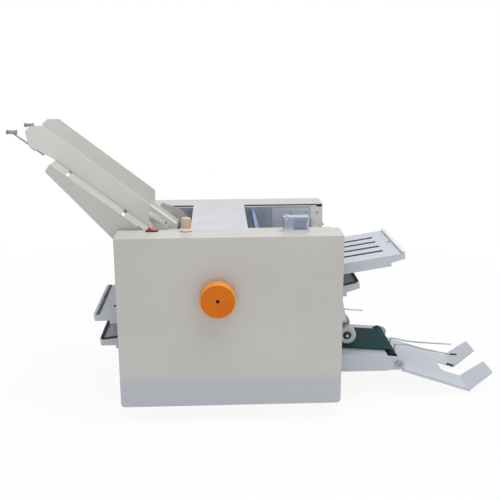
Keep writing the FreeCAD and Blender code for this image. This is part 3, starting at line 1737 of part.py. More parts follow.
def pilot_lamp_lens():
    """The hollow lens with a rounded top."""
    low = casing_top + lamp_ring_height
    lens = rod_along_z(lamp_x, lamp_y, lamp_lens_radius, low, low + lamp_lens_height)
    middle = low + lamp_lens_height / 2
    lens = round_edges(lens, lamp_lens_radius / 3, lambda edge: edge_middle(edge).z > middle)
    inner_radius = lamp_lens_radius - lamp_lens_wall
    inner_high = low + lamp_lens_height - lamp_lens_wall
    hollow = rod_along_z(lamp_x, lamp_y, inner_radius, low - cut_overrun, inner_high)
    hollow = round_edges(hollow, inner_radius / 3, lambda edge: edge_middle(edge).z > middle)
    return lens.cut(hollow)


def counter_block(length, width, z0, z1, radius):
    """A block about the counter's middle with rounded upright corners."""
    block = box(
        counter_x - length / 2, counter_x + length / 2,
        counter_y - width / 2, counter_y + width / 2, z0, z1,
    )
    return round_edges(block, radius, lambda edge: runs_along(edge, 2))


def counter_case():
    """The counter's base plate and its inner works."""
    base = counter_block(
        counter_length, counter_width, casing_top, casing_top + counter_base_height, counter_corner_radius
    )
    works_x = counter_x + counter_body_offset
    works_top = casing_top + counter_base_height + counter_body_height
    works = box(
        works_x - counter_body_length / 2, works_x + counter_body_length / 2,
        counter_y - counter_body_width / 2, counter_y + counter_body_width / 2,
        casing_top + counter_base_height, works_top,
    )
    return base.fuse(works).removeSplitter()


def counter_window():
    """The clear cover over the counter."""
    low = casing_top + counter_base_height
    high = casing_top + counter_height
    wall = counter_window_sheet
    inset = counter_window_inset
    window = counter_block(
        counter_length - inset * 2, counter_width - inset * 2, low, high, counter_corner_radius
    )
    hollow = counter_block(
        counter_length - inset * 2 - wall * 2, counter_width - inset * 2 - wall * 2,
        low - cut_overrun, high - wall, counter_corner_radius - wall,
    )
    button_x = counter_x - counter_length / 3
    hole_radius = counter_button_radius + sliding_clearance
    hole = rod_along_z(button_x, counter_y, hole_radius, high - wall - cut_overrun, high + cut_overrun)
    return window.cut([hollow, hole])


def counter_button():
    """The reset button that stands out of the clear cover."""
    button_x = counter_x - counter_length / 3
    high = casing_top + counter_height
    stem = rod_along_z(
        button_x, counter_y, counter_button_radius,
        high - counter_button_length, high + counter_button_travel + counter_window_sheet,
    )
    collar = rod_along_z(
        button_x, counter_y, counter_button_radius + counter_window_sheet,
        high - counter_button_length, high - counter_window_sheet - sliding_clearance,
    )
    return stem.fuse(collar).removeSplitter()


# Motor and inlet

def motor():
    """The geared motor, flanged to the near frame plate, with cooling grooves round its body."""
    x, z = motor_place
    start = -frame_inner
    body = rod_along_y(x, z, motor_radius, start, start + motor_length)
    grooves = []
    fin_start = start + motor_gearbox_length
    pitch = (motor_length - motor_gearbox_length - motor_cap_length) / motor_fin_count
    for count in range(motor_fin_count):
        y = fin_start + (count + 1 / 2) * pitch
        grooves.append(
            ring_along_y(
                motor_place, motor_radius + cut_overrun, motor_radius - motor_fin_depth,
                y - motor_fin_gap / 2, y + motor_fin_gap / 2,
            )
        )
    body = body.cut(grooves)
    boss = rod_along_y(x, z, motor_boss_radius, -frame_outer, start)
    bore = rod_along_y(
        x, z, motor_shaft_radius + running_clearance, -frame_outer - cut_overrun, start + motor_gearbox_length
    )
    return body.fuse(boss).removeSplitter().cut(bore)


def motor_gear():
    """The motor's output gear on its shaft."""
    wheel = hubbed_gear(motor_place, motor_gear_teeth, motor_gear_angle, 0)
    shaft = rod_along_y(
        motor_place[0], motor_place[1], motor_shaft_radius,
        shaft_near_end, -frame_inner + motor_gearbox_length - cut_overrun,
    )
    return wheel.fuse(shaft).removeSplitter()


def power_inlet():
    """The recessed mains inlet in the far cover, with three pins."""
    z = lift + inlet_height
    half_length = inlet_length / 2
    half_rise = inlet_rise / 2
    face = cover_outer + inlet_flange_thickness
    flange = box(
        inlet_x - half_length - inlet_flange, inlet_x + half_length + inlet_flange,
        cover_outer, face, z - half_rise - inlet_flange, z + half_rise + inlet_flange,
    )
    body = box(
        inlet_x - half_length, inlet_x + half_length, cover_outer - inlet_depth, cover_outer,
        z - half_rise, z + half_rise,
    )
    recess_back = cover_outer - inlet_depth + inlet_recess_wall
    recess = box(
        inlet_x - half_length + inlet_recess_wall, inlet_x + half_length - inlet_recess_wall,
        recess_back, face + cut_overrun,
        z - half_rise + inlet_recess_wall, z + half_rise - inlet_recess_wall,
    )
    inlet = flange.fuse(body).removeSplitter().cut(recess)
    pins = []
    for offset_x, offset_z in (
        (-inlet_pin_spread, -inlet_pin_rise), (inlet_pin_spread, -inlet_pin_rise), (0, inlet_pin_rise),
    ):
        pin_x = inlet_x + offset_x
        pin_end = recess_back + inlet_pin_length
        pins.append(rod_along_y(pin_x, z + offset_z, inlet_pin_radius, recess_back, pin_end))
    return inlet.fuse(pins).removeSplitter()


def build():
    os.makedirs("parts", exist_ok=True)
    save("near_cover", [near_cover()])
    save("far_cover", [far_cover()])
    save("screws", cover_screws() + tray_screws() + pivot_bolts())
    save("near_frame_plate", [near_frame_plate()])
    save("far_frame_plate", [mirrored(bare_frame_plate())])
    save("base_plate", [base_plate()])
    save("rubber_feet", rubber_feet())
    save("tie_bars", tie_bars())
    save("blue_cross_bar", [blue_cross_bar()])
    save("top_plate", [top_plate()])
    save("frame_bushes", frame_bushes())
    for index in range(roller_count):
        number = str(index + 1)
        save("fold_roller_" + number, [fold_roller(index)])
        save(
            "fold_gear_" + number,
            [hubbed_gear(rollers[index], fold_gear_teeth, roller_tooth_angles[index], journal_radius)],
        )
    save("handwheel", [handwheel()])
    save("idler_gear", [idler_gear()])
    save("feed_shaft", [feed_shaft()])
    save("feed_roller", [feed_roller()])
    save("feed_tray", [feed_tray()])
    save("separator_pad", [separator_pad()])
    save("sheet_holder", [sheet_holder()])
    save("near_paper_guide", [guide(near_guide_face, 1)])
    save("far_paper_guide", [guide(far_guide_face, -1)])
    save("near_guide_rod", [guide_rod(near_guide_face, 1)])
    save("far_guide_rod", [guide_rod(far_guide_face, -1)])
    for name, side, mouth_x, end_x, mouth_z, slope in plate_places():
        save(name, [fold_plate(side, mouth_x, end_x, mouth_z, slope)])
        save("paper_stop_" + name[-1], [paper_stop(side, mouth_x, mouth_z, slope)])
    save("delivery_frame", [delivery_frame()])
    save("delivery_belt", [delivery_belt()])
    save("delivery_drive_roller", [delivery_drive_roller()])
    save("delivery_nose_roller", [delivery_nose_roller()])
    save("press_wheels", press_wheels())
    save("press_arms", [press_arms()])
    save("stack_tray", [stack_tray()])
    save("support_wires", support_wires())
    save("switch_housing", [switch_housing()])
    save("rocker", [rocker()])
    save("pilot_lamp_base", [pilot_lamp_base()])
    save("pilot_lamp_lens", [pilot_lamp_lens()])
    save("counter_case", [counter_case()])
    save("counter_window", [counter_window()])
    save("counter_button", [counter_button()])
    save("motor", [motor()])
    save("motor_gear", [motor_gear()])
    save("power_inlet", [power_inlet()])


build()
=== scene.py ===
import json
import math

import bmesh
import bpy
from mathutils import Matrix, Vector


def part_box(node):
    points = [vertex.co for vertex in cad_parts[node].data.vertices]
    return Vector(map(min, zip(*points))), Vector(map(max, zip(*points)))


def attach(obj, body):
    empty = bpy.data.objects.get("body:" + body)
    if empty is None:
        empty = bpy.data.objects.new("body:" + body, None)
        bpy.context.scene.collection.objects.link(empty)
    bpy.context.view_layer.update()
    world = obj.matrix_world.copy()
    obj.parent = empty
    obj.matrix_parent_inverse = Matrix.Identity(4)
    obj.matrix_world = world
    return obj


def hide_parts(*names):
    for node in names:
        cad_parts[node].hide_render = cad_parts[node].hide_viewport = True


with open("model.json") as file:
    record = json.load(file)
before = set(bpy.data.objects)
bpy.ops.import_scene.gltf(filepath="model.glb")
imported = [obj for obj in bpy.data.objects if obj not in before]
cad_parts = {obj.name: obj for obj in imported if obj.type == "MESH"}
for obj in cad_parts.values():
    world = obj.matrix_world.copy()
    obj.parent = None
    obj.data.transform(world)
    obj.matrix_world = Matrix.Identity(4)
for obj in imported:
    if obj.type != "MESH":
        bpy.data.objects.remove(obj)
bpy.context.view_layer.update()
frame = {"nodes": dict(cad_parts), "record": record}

# Sizes below are in millimetres, and MM turns them to metres.
MM = 0.001
scene = bpy.context.scene

# Camera, in front of the machine and a little above it, with its angles in degrees
CAMERA_PLACE = (-18.8, -1624.7, 707.3)
CAMERA_YAW = 2.28
CAMERA_PITCH = 14.2
CAMERA_ROLL = -0.33
CAMERA_LENS = 57.02
SENSOR = 36.0


def place_camera():
    """Set up the camera at its place, turned by its yaw from Y, its pitch downward and its roll."""
    yaw, pitch, roll = (math.radians(value) for value in (CAMERA_YAW, CAMERA_PITCH, CAMERA_ROLL))
    forward = Vector((math.sin(yaw) * math.cos(pitch), math.cos(yaw) * math.cos(pitch), -math.sin(pitch)))
    right = Vector((math.cos(yaw), -math.sin(yaw), 0))
    up = right.cross(forward)
    rolled_right = right * math.cos(roll) + up * math.sin(roll)
    rolled_up = up * math.cos(roll) - right * math.sin(roll)
    turn = Matrix((rolled_right, rolled_up, -forward)).transposed().to_4x4()
    data = bpy.data.cameras.new("camera")
    data.lens = CAMERA_LENS
    data.sensor_width = SENSOR
    data.clip_end = 30
    camera = bpy.data.objects.new("camera", data)
    camera.matrix_world = Matrix.Translation(Vector(CAMERA_PLACE) * MM) @ turn
    scene.collection.objects.link(camera)
    scene.camera = camera


# Colours and shader nodes

def linear(code):
    """An sRGB hex colour as linear red, green, blue and alpha."""
    values = []
    for index in (0, 2, 4):
        share = int(code[index:index + 2], 16) / 255
        values.append(share / 12.92 if share <= 0.04045 else ((share + 0.055) / 1.055) ** 2.4)
    return (*values, 1.0)


def add(tree, kind, settings=None, links=None):
    """Add a shader node. Settings name a socket, a property or a ramp's stops, and links give (node, output)
    for a socket."""
    made = tree.nodes.new("ShaderNode" + kind)
    for key, value in (settings or {}).items():
        if key == "stops":
            ramp = made.color_ramp
            while len(ramp.elements) < len(value):
                ramp.elements.new(1.0)
            for element, (place, colour) in zip(ramp.elements, value):
                element.position = place
                element.color = colour
        elif isinstance(key, int) or key in made.inputs:
            made.inputs[key].default_value = value
        else:
            setattr(made, key, value)
    for key, (source, output) in (links or {}).items():
        tree.links.new(source.outputs[output], made.inputs[key])
    return made


def grey(value):
    """The same linear value in all three colours, for a ramp that drives roughness."""
    return (value, value, value, 1.0)


def per_mm(size):
    """The scale of a pattern whose repeat is this many millimetres."""
    return 1 / (size * MM)


def new_finish(name, settings):
    """A material with its shader and the object's coordinates, ready for a finish to be built on."""
    material = bpy.data.materials.new(name)
    material.use_nodes = True
    tree = material.node_tree
    tree.nodes.clear()
    shader = add(tree, "BsdfPrincipled", settings)
    add(tree, "OutputMaterial", links={"Surface": (shader, "BSDF")})
    coords = add(tree, "TexCoord")
    return material, tree, shader, coords


def join_finish(tree, shader, tint, gloss, bump):
    """Lead a finish's colour, roughness and relief into its shader."""
    tree.links.new(tint.outputs["Color"], shader.inputs["Base Color"])
    tree.links.new(gloss.outputs["Color"], shader.inputs["Roughness"])
    tree.links.new(bump.outputs["Normal"], shader.inputs["Normal"])


def powder_coat(name, pale, deep, peel=1.6, roughness=(0.36, 0.52)):
    """Polyester powder coat on sheet steel, baked on: an even satin skin with a fine orange peel, slightly
    uneven in shade, with a little hand grime."""
    material, tree, shader, coords = new_finish(name, {"IOR": 1.5})
    cloud = add(tree, "TexNoise", {"Scale": per_mm(170), "Detail": 4.0, "Roughness": 0.6},
                {"Vector": (coords, "Object")})
    tint = add(tree, "ValToRGB", {"stops": [(0.30, linear(deep)), (0.62, linear(pale))]},
               {"Fac": (cloud, "Fac")})
    skin = add(tree, "TexNoise", {"Scale": per_mm(peel), "Detail": 2.0, "Roughness": 0.5},
               {"Vector": (coords, "Object")})
    smudge = add(tree, "TexNoise", {"Scale": per_mm(46), "Detail": 6.0, "Roughness": 0.68},
                 {"Vector": (coords, "Object")})
    gloss = add(tree, "ValToRGB", {"stops": [(0.35, grey(roughness[0])), (0.7, grey(roughness[1]))]},
                {"Fac": (smudge, "Fac")})
    rounded = add(tree, "Bevel", {"samples": 4, "Radius": 0.9 * MM})
    bump = add(tree, "Bump", {"Strength": 0.22, "Distance": 0.08 * MM},
               {"Height": (skin, "Fac"), "Normal": (rounded, "Normal")})
    join_finish(tree, shader, tint, gloss, bump)
    return material


# Heights between which the painted bluish shade at the covers' foot fades out
FOOT_SHADE_BAND = (80.0, 98.0)


def coat_with_painted_foot_shade(name, pale, deep, foot):
    """The same powder coat with painted bluish shade along the covers' lower edge: a slightly cooler, darker
    white that fades out upward.
    """
    material = powder_coat(name, pale, deep)
    tree = material.node_tree
    shader = next(node for node in tree.nodes if node.type == "BSDF_PRINCIPLED")
    upper = shader.inputs["Base Color"].links[0].from_node
    coords = next(node for node in tree.nodes if node.type == "TEX_COORD")
    place = add(tree, "SeparateXYZ", links={"Vector": (coords, "Object")})
    band = add(tree, "MapRange",
               {"From Min": FOOT_SHADE_BAND[0] * MM, "From Max": FOOT_SHADE_BAND[1] * MM, "To Min": 1.0, "To Max": 0.0},
               {"Value": (place, "Z")})
    # Painted shade: a cooler, darker white mixed in below the band
    mixed = add(tree, "MixRGB", {"Color2": linear(foot)},
                {"Fac": (band, "Result"), "Color1": (upper, "Color")})
    tree.links.new(mixed.outputs["Color"], shader.inputs["Base Color"])
    return material


def brushed_sheet(name, pale, deep):
    """Stainless sheet that was brushed along X: long fine scratches that stretch the highlights."""
    material, tree, shader, coords = new_finish(name, {"Metallic": 1.0})
    stretch = add(tree, "Mapping", {"Scale": (0.012, 1.0, 1.0)}, {"Vector": (coords, "Object")})
    scratch = add(tree, "TexNoise", {"Scale": per_mm(0.9), "Detail": 5.0, "Roughness": 0.7},
                  {"Vector": (stretch, "Vector")})
    patch = add(tree, "TexNoise", {"Scale": per_mm(60), "Detail": 3.0}, {"Vector": (coords, "Object")})
    tint = add(tree, "ValToRGB", {"stops": [(0.32, linear(deep)), (0.66, linear(pale))]},
               {"Fac": (patch, "Fac")})
    gloss = add(tree, "ValToRGB", {"stops": [(0.3, grey(0.24)), (0.72, grey(0.42))]},
                {"Fac": (scratch, "Fac")})
    rounded = add(tree, "Bevel", {"samples": 4, "Radius": 0.5 * MM})
    bump = add(tree, "Bump", {"Strength": 0.18, "Distance": 0.03 * MM},
               {"Height": (scratch, "Fac"), "Normal": (rounded, "Normal")})
    join_finish(tree, shader, tint, gloss, bump)
    return material


def zinc_plate(name, pale, deep):
    """Zinc plated steel: a cool grey skin with a cloudy passivated film and a dull sparkle."""
    material, tree, shader, coords = new_finish(name, {"Metallic": 0.9})
    film = add(tree, "TexNoise", {"Scale": per_mm(34), "Detail": 5.0, "Roughness": 0.65},
               {"Vector": (coords, "Object")})
    spangle = add(tree, "TexVoronoi", {"Scale": per_mm(2.4)}, {"Vector": (coords, "Object")})
    tint = add(tree, "ValToRGB", {"stops": [(0.28, linear(deep)), (0.7, linear(pale))]},
               {"Fac": (film, "Fac")})
    gloss = add(tree, "ValToRGB", {"stops": [(0.0, grey(0.3)), (0.9, grey(0.5))]},
                {"Fac": (spangle, "Distance")})
    rounded = add(tree, "Bevel", {"samples": 4, "Radius": 0.5 * MM})
    bump = add(tree, "Bump", {"Strength": 0.12, "Distance": 0.04 * MM},
               {"Height": (spangle, "Distance"), "Normal": (rounded, "Normal")})
    join_finish(tree, shader, tint, gloss, bump)
    return material


def turned_bar(name, pale, deep, oil=0.0):
    """Bright bar or a gear blank cut on a lathe: fine rings across Y, under a film of oil where it runs."""
    material, tree, shader, coords = new_finish(
        name, {"Metallic": 1.0, "Coat Weight": oil, "Coat Roughness": 0.15})
    squeeze = add(tree, "Mapping", {"Scale": (0.05, 1.0, 0.05)}, {"Vector": (coords, "Object")})
    ring = add(tree, "TexNoise", {"Scale": per_mm(1.1), "Detail": 3.0}, {"Vector": (squeeze, "Vector")})
    stain = add(tree, "TexNoise", {"Scale": per_mm(28), "Detail": 5.0, "Roughness": 0.6},
                {"Vector": (coords, "Object")})
    tint = add(tree, "ValToRGB", {"stops": [(0.3, linear(deep)), (0.65, linear(pale))]},
               {"Fac": (stain, "Fac")})
    gloss = add(tree, "ValToRGB", {"stops": [(0.3, grey(0.18)), (0.7, grey(0.34))]},
                {"Fac": (ring, "Fac")})
    rounded = add(tree, "Bevel", {"samples": 4, "Radius": 0.3 * MM})
    bump = add(tree, "Bump", {"Strength": 0.15, "Distance": 0.03 * MM},
               {"Height": (ring, "Fac"), "Normal": (rounded, "Normal")})
    join_finish(tree, shader, tint, gloss, bump)
    return material


def moulded_plastic(name, pale, deep, roughness=(0.28, 0.40), edge=0.6, **extra):
    """Injection moulded ABS or nylon: an even colour with a fine spark-eroded grain from the mould."""
    material, tree, shader, coords = new_finish(name, {"IOR": 1.53, **extra})
    flow = add(tree, "TexNoise", {"Scale": per_mm(40), "Detail": 3.0}, {"Vector": (coords, "Object")})
    tint = add(tree, "ValToRGB", {"stops": [(0.3, linear(deep)), (0.6, linear(pale))]},
               {"Fac": (flow, "Fac")})
    grain = add(tree, "TexNoise", {"Scale": per_mm(0.9), "Detail": 3.0, "Roughness": 0.6},
                {"Vector": (coords, "Object")})
    rubbed = add(tree, "TexNoise", {"Scale": per_mm(14), "Detail": 5.0}, {"Vector": (coords, "Object")})
    gloss = add(tree, "ValToRGB", {"stops": [(0.35, grey(roughness[0])), (0.68, grey(roughness[1]))]},
                {"Fac": (rubbed, "Fac")})
    rounded = add(tree, "Bevel", {"samples": 4, "Radius": edge * MM})
    bump = add(tree, "Bump", {"Strength": 0.14, "Distance": 0.05 * MM},
               {"Height": (grain, "Fac"), "Normal": (rounded, "Normal")})
    join_finish(tree, shader, tint, gloss, bump)
    return material


def moulded_rubber(name, pale, deep, roughness=(0.55, 0.78)):
    """Moulded or ground rubber: dull, with a fine abraded grain and paper dust on it."""
    material, tree, shader, coords = new_finish(name, {"IOR": 1.52})
    dust = add(tree, "TexNoise", {"Scale": per_mm(26), "Detail": 6.0, "Roughness": 0.7},
               {"Vector": (coords, "Object")})
    tint = add(tree, "ValToRGB", {"stops": [(0.34, linear(deep)), (0.74, linear(pale))]},
               {"Fac": (dust, "Fac")})
    gloss = add(tree, "ValToRGB", {"stops": [(0.3, grey(roughness[0])), (0.7, grey(roughness[1]))]},
                {"Fac": (dust, "Fac")})
    ground = add(tree, "TexNoise", {"Scale": per_mm(1.2), "Detail": 4.0, "Roughness": 0.7},
                 {"Vector": (coords, "Object")})
    rounded = add(tree, "Bevel", {"samples": 4, "Radius": 0.6 * MM})
    bump = add(tree, "Bump", {"Strength": 0.3, "Distance": 0.12 * MM},
               {"Height": (ground, "Fac"), "Normal": (rounded, "Normal")})
    join_finish(tree, shader, tint, gloss, bump)
    return material


# A wave texture draws about this many half waves along one unit of its scale.
HALF_WAVES = 6.283


def conveyor_belting(name):
    """Green PVC belting on a woven carrier: the weave prints through as small squares, with paler worn tracks
    where the sheets and the wheels run. The 1.2 mm threads are drawn 2.4 mm wide, so that they show."""
    material, tree, shader, coords = new_finish(name, {"IOR": 1.52, "Specular IOR Level": 0.12})
    threads = {"Scale": per_mm(2.4) / HALF_WAVES, "Distortion": 0.4}
    warp = add(tree, "TexWave", {**threads, "bands_direction": "Y"}, {"Vector": (coords, "Object")})
    weft = add(tree, "TexWave", {**threads, "bands_direction": "X"}, {"Vector": (coords, "Object")})
    weave = add(tree, "Math", {"operation": "MULTIPLY"}, {0: (warp, "Fac"), 1: (weft, "Fac")})
    wear_map = add(tree, "Mapping", {"Scale": (0.15, 1.0, 0.4)}, {"Vector": (coords, "Object")})
    track = add(tree, "TexNoise", {"Scale": per_mm(34), "Detail": 4.0, "Roughness": 0.6},
                {"Vector": (wear_map, "Vector")})
    tint = add(tree, "ValToRGB",
               {"stops": [(0.25, linear("0F3739")), (0.55, linear("174143")), (0.9, linear("2A5254"))]},
               {"Fac": (track, "Fac")})
    gloss = add(tree, "ValToRGB", {"stops": [(0.3, grey(0.62)), (0.75, grey(0.8))]}, {"Fac": (track, "Fac")})
    rounded = add(tree, "Bevel", {"samples": 4, "Radius": 0.6 * MM})
    bump = add(tree, "Bump", {"Strength": 0.35, "Distance": 0.12 * MM},
               {"Height": (weave, "Value"), "Normal": (rounded, "Normal")})
    join_finish(tree, shader, tint, gloss, bump)
    return material


def sintered_bronze(name):
    """Oil-soaked sintered bronze, pressed from powder: a warm dull metal with tiny open pores."""
    material, tree, shader, coords = new_finish(name, {"Metallic": 1.0})
    pore = add(tree, "TexVoronoi", {"Scale": per_mm(1.0)}, {"Vector": (coords, "Object")})
    tint = add(tree, "ValToRGB", {"stops": [(0.05, linear("5E4326")), (0.4, linear("A97F4C"))]},
               {"Fac": (pore, "Distance")})
    gloss = add(tree, "ValToRGB", {"stops": [(0.0, grey(0.6)), (0.5, grey(0.34))]},
                {"Fac": (pore, "Distance")})
    bump = add(tree, "Bump", {"Strength": 0.3, "Distance": 0.06 * MM}, {"Height": (pore, "Distance")})
    join_finish(tree, shader, tint, gloss, bump)
    return material


def cast_acrylic(name, colour, roughness=(0.03, 0.10), **extra):
    """Clear or tinted acrylic, moulded and glossy, with faint wipe marks."""
    material, tree, shader, coords = new_finish(
        name, {"IOR": 1.49, "Base Color": linear(colour), "Transmission Weight": 0.92, **extra})
    wipe = add(tree, "TexNoise", {"Scale": per_mm(9), "Detail": 5.0}, {"Vector": (coords, "Object")})
    gloss = add(tree, "ValToRGB", {"stops": [(0.4, grey(roughness[0])), (0.8, grey(roughness[1]))]},
                {"Fac": (wipe, "Fac")})
    tree.links.new(gloss.outputs["Color"], shader.inputs["Roughness"])
    return material


# One finish for each of the record's slots
FINISHES = {
    "ivory_paint": powder_coat("ivory_powder_coat", "C6C4BE", "C0BEB7"),
    "tray_paint": powder_coat("cool_white_powder_coat", "C3C8CF", "BDC2C9"),
    "plate_paint": powder_coat("grey_white_powder_coat", "C4C9D0", "BDC2C9"),
    "frame_steel": zinc_plate("zinc_plated_plate", "C3C8CF", "A9AEB6"),
    "bright_steel": brushed_sheet("brushed_stainless", "D2D3D8", "C6C7CD"),
    "turned_steel": turned_bar("bright_steel_bar", "C9C9CB", "B4B4B7"),
    "screw_zinc": zinc_plate("zinc_plated_screw", "B4B7BC", "8F9298"),
    "gear_steel": turned_bar("oiled_gear_steel", "8E8E91", "707073", oil=0.5),
    "bronze": sintered_bronze("sintered_bronze"),
    "blue_paint": powder_coat("blue_enamel", "3F6FB5", "36639F", peel=2.2, roughness=(0.22, 0.36)),
    "orange_plastic": moulded_plastic("orange_abs", "DB7204", "D26A02", roughness=(0.38, 0.5), edge=1.2,
                                      **{"Specular IOR Level": 0.2}),
    "red_plastic": moulded_plastic("red_nylon", "C62A20", "B8241B", roughness=(0.18, 0.3)),
    "lamp_lens": cast_acrylic("amber_acrylic", "E6CBB0", roughness=(0.18, 0.3),
                              **{"Transmission Weight": 0.25}),
    "clear_plastic": cast_acrylic("clear_acrylic", "EEF2F8"),
    "counter_blue": moulded_plastic("blue_grey_abs", "8C9DC6", "7F91BC", roughness=(0.2, 0.32)),
    "button_white": moulded_plastic("white_abs", "E3E3E0", "DADAD6"),
    "black_plastic": moulded_plastic("black_nylon", "1C1D1F", "141516", roughness=(0.4, 0.55)),
    "black_rubber": moulded_rubber("black_foot_rubber", "2B2B2C", "191919"),
    "tan_rubber": moulded_rubber("separator_rubber", "9A7A55", "806242"),
    "grey_rubber": moulded_rubber("ground_feed_rubber", "5B5C5E", "4A4B4D"),
    "white_rubber": moulded_rubber("white_wheel_rubber", "DEDEDA", "CFCFCA", roughness=(0.4, 0.6)),
    "green_belt": conveyor_belting("green_pvc_belting"),
    "motor_paint": powder_coat("black_motor_enamel", "2A2C2F", "212326", peel=2.0, roughness=(0.34, 0.5)),
}

# Finishes that a few pieces have in place of their slot's
GUIDE_PAINT = powder_coat("pale_ivory_powder_coat", "DCDBD6", "D6D5CF")
# The covers' coat, with painted bluish shade along their foot
COVER_PAINT_WITH_FOOT_SHADE = coat_with_painted_foot_shade("ivory_powder_coat_with_painted_foot_shade", "C6C4BE", "C0BEB7", "BABDC2")
WALL_PAINT = powder_coat("lavender_grey_powder_coat", "B9BDC9", "B0B4C0")
BLUE_ACRYLIC = cast_acrylic("blue_acrylic", "A9C0F2", **{"Transmission Weight": 0.6})
PALE_GREY = moulded_plastic("pale_grey_abs", "E0E1E7", "D6D7DE")
BEZEL_WHITE = moulded_plastic("warm_white_abs", "EDE8DE", "E5DFD4")
GASKET_BROWN = moulded_rubber("brown_gasket_rubber", "A98E6E", "96795A")
# A yellower orange for the handwheel's rim than for its face: painted light on the lit side wall
RIM_ORANGE_PAINTED_LIGHT = moulded_plastic("yellow_orange_abs_painted_light", "F39C34", "EA922A", roughness=(0.38, 0.5), edge=1.2,
                             **{"Specular IOR Level": 0.2})
# Dull black as painted shade: the handwheel's clamp screw in its socket, and the nose roller's caps in their
# cut-out
BLACK_PAINTED_SHADE = moulded_plastic("matt_black_painted_shade", "0D0E0F", "090A0A", roughness=(0.6, 0.75),
                             **{"Specular IOR Level": 0.2})
OWN_FINISH = {
    "near_cover": COVER_PAINT_WITH_FOOT_SHADE,
    "far_cover": COVER_PAINT_WITH_FOOT_SHADE,
    "sheet_holder": GUIDE_PAINT,
    "near_paper_guide": GUIDE_PAINT,
    "far_paper_guide": GUIDE_PAINT,
    "counter_case": PALE_GREY,
    # The nose roller: its black caps, darkened and dulled as painted shade in the cut-out round them
    "delivery_nose_roller": BLACK_PAINTED_SHADE,
    "near_guide_rod": FINISHES["gear_steel"],
    "far_guide_rod": FINISHES["gear_steel"],
}
SLOT_OF = {entry["node"]: entry["material_slot"] for entry in frame["record"]["subparts"]}
for node_name, node_object in frame["nodes"].items():
    if not node_object.material_slots:
        node_object.data.materials.append(None)
    for material_slot in node_object.material_slots:
        material_slot.material = OWN_FINISH.get(node_name, FINISHES[SLOT_OF[node_name]])


# Making pieces

# Faces that meet at less than this many degrees are shaded as one round surface.
SMOOTH_ANGLE = 32


def piece(name, shape, slot, body, replaced=(), finish=None):
    """Turn a bmesh, in metres and in place, into a named piece that rides on a body."""
    bmesh.ops.recalc_face_normals(shape, faces=shape.faces)
    mesh = bpy.data.meshes.new(name)
    shape.to_mesh(mesh)
    shape.free()
    mesh.polygons.foreach_set("use_smooth", [True] * len(mesh.polygons))
    mesh.set_sharp_from_angle(angle=math.radians(SMOOTH_ANGLE))
    mesh.materials.append(finish or FINISHES[slot])
    made = bpy.data.objects.new(name, mesh)
    scene.collection.objects.link(made)
    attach(made, body)
    if replaced:
        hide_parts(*replaced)


def box_of(node):
    """A node's low corner, high corner and middle, in millimetres to the nearest thousandth."""
    low, high = (Vector([round(value / MM, 3) for value in corner]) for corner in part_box(node))
    return low, high, (low + high) / 2


def turn_to(axis, place):
    """The matrix that takes local Z to an axis and the origin to a place in millimetres."""
    turn = Vector((0, 0, 1)).rotation_difference(Vector(axis)).to_matrix().to_4x4()
    return Matrix.Translation(Vector(place) * MM) @ turn


def lathe(shape, profile, matrix, steps):
    """Add a form turned in that many steps. Its profile is (radius, height) in millimetres, from one end of
    the axis to the other."""
    rings = []
    for radius, height in profile:
        if radius == 0:
            rings.append([shape.verts.new(matrix @ Vector((0, 0, height * MM)))])
            continue
        ring = []
        for step in range(steps):
            angle = 2 * math.pi * step / steps
            local = Vector((radius * math.cos(angle), radius * math.sin(angle), height)) * MM
            ring.append(shape.verts.new(matrix @ local))
        rings.append(ring)
    for low, high in zip(rings, rings[1:]):
        for step in range(steps):
            after = (step + 1) % steps
            if len(low) == 1:
                shape.faces.new((low[0], high[step], high[after]))
            elif len(high) == 1:
                shape.faces.new((low[step], high[0], low[after]))
            else:
                shape.faces.new((low[step], low[after], high[after], high[step]))


def rounded_block(shape, low, high, radius):
    """Add a block between two corners in millimetres, its edges rounded by a radius that may be zero."""
    middle = (Vector(low) + Vector(high)) / 2 * MM
    size = (Vector(high) - Vector(low)) * MM
    made = bmesh.new()
    bmesh.ops.create_cube(made, size=1, matrix=Matrix.Translation(middle) @ Matrix.Diagonal((*size, 1)))
    if radius:
        bmesh.ops.bevel(made, geom=made.edges[:], offset=radius * MM, segments=3, affect="EDGES", profile=0.5)
    mesh = bpy.data.meshes.new("block")
    made.to_mesh(mesh)
    made.free()
    shape.from_mesh(mesh)
    bpy.data.meshes.remove(mesh)


def wire(name, points, radius, slot, body, replaced):
    """A round wire along a smooth curve led by points in millimetres."""
    data = bpy.data.curves.new(name, "CURVE")
    data.dimensions = "3D"
    data.bevel_depth = radius * MM
    data.bevel_resolution = 5
    data.use_fill_caps = True
    spline = data.splines.new("NURBS")
    spline.points.add(len(points) - 1)
    for point, place in zip(spline.points, points):
        point.co = (*(Vector(place) * MM), 1)
    spline.order_u = 3
    spline.use_endpoint_u = True
    spline.resolution_u = 10
    data.materials.append(FINISHES[slot])
    made = bpy.data.objects.new(name, data)
    scene.collection.objects.link(made)
    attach(made, body)
    if replaced:
        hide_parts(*replaced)


def pan_screw(shape, place, axis, radius, height):
    """Add a screw's domed head with a round socket in its middle."""
    profile = [(0, height * 0.35), (radius * 0.30, height * 0.35), (radius * 0.42, height * 0.96),
               (radius * 0.6, height), (radius * 0.86, height * 0.78), (radius, height * 0.35), (radius, 0)]
    lathe(shape, profile, turn_to(axis, place), 28)


CASING_TOP = box_of("near_cover")[1].z


# Handwheel

WHEEL_DEPTH = 28.4


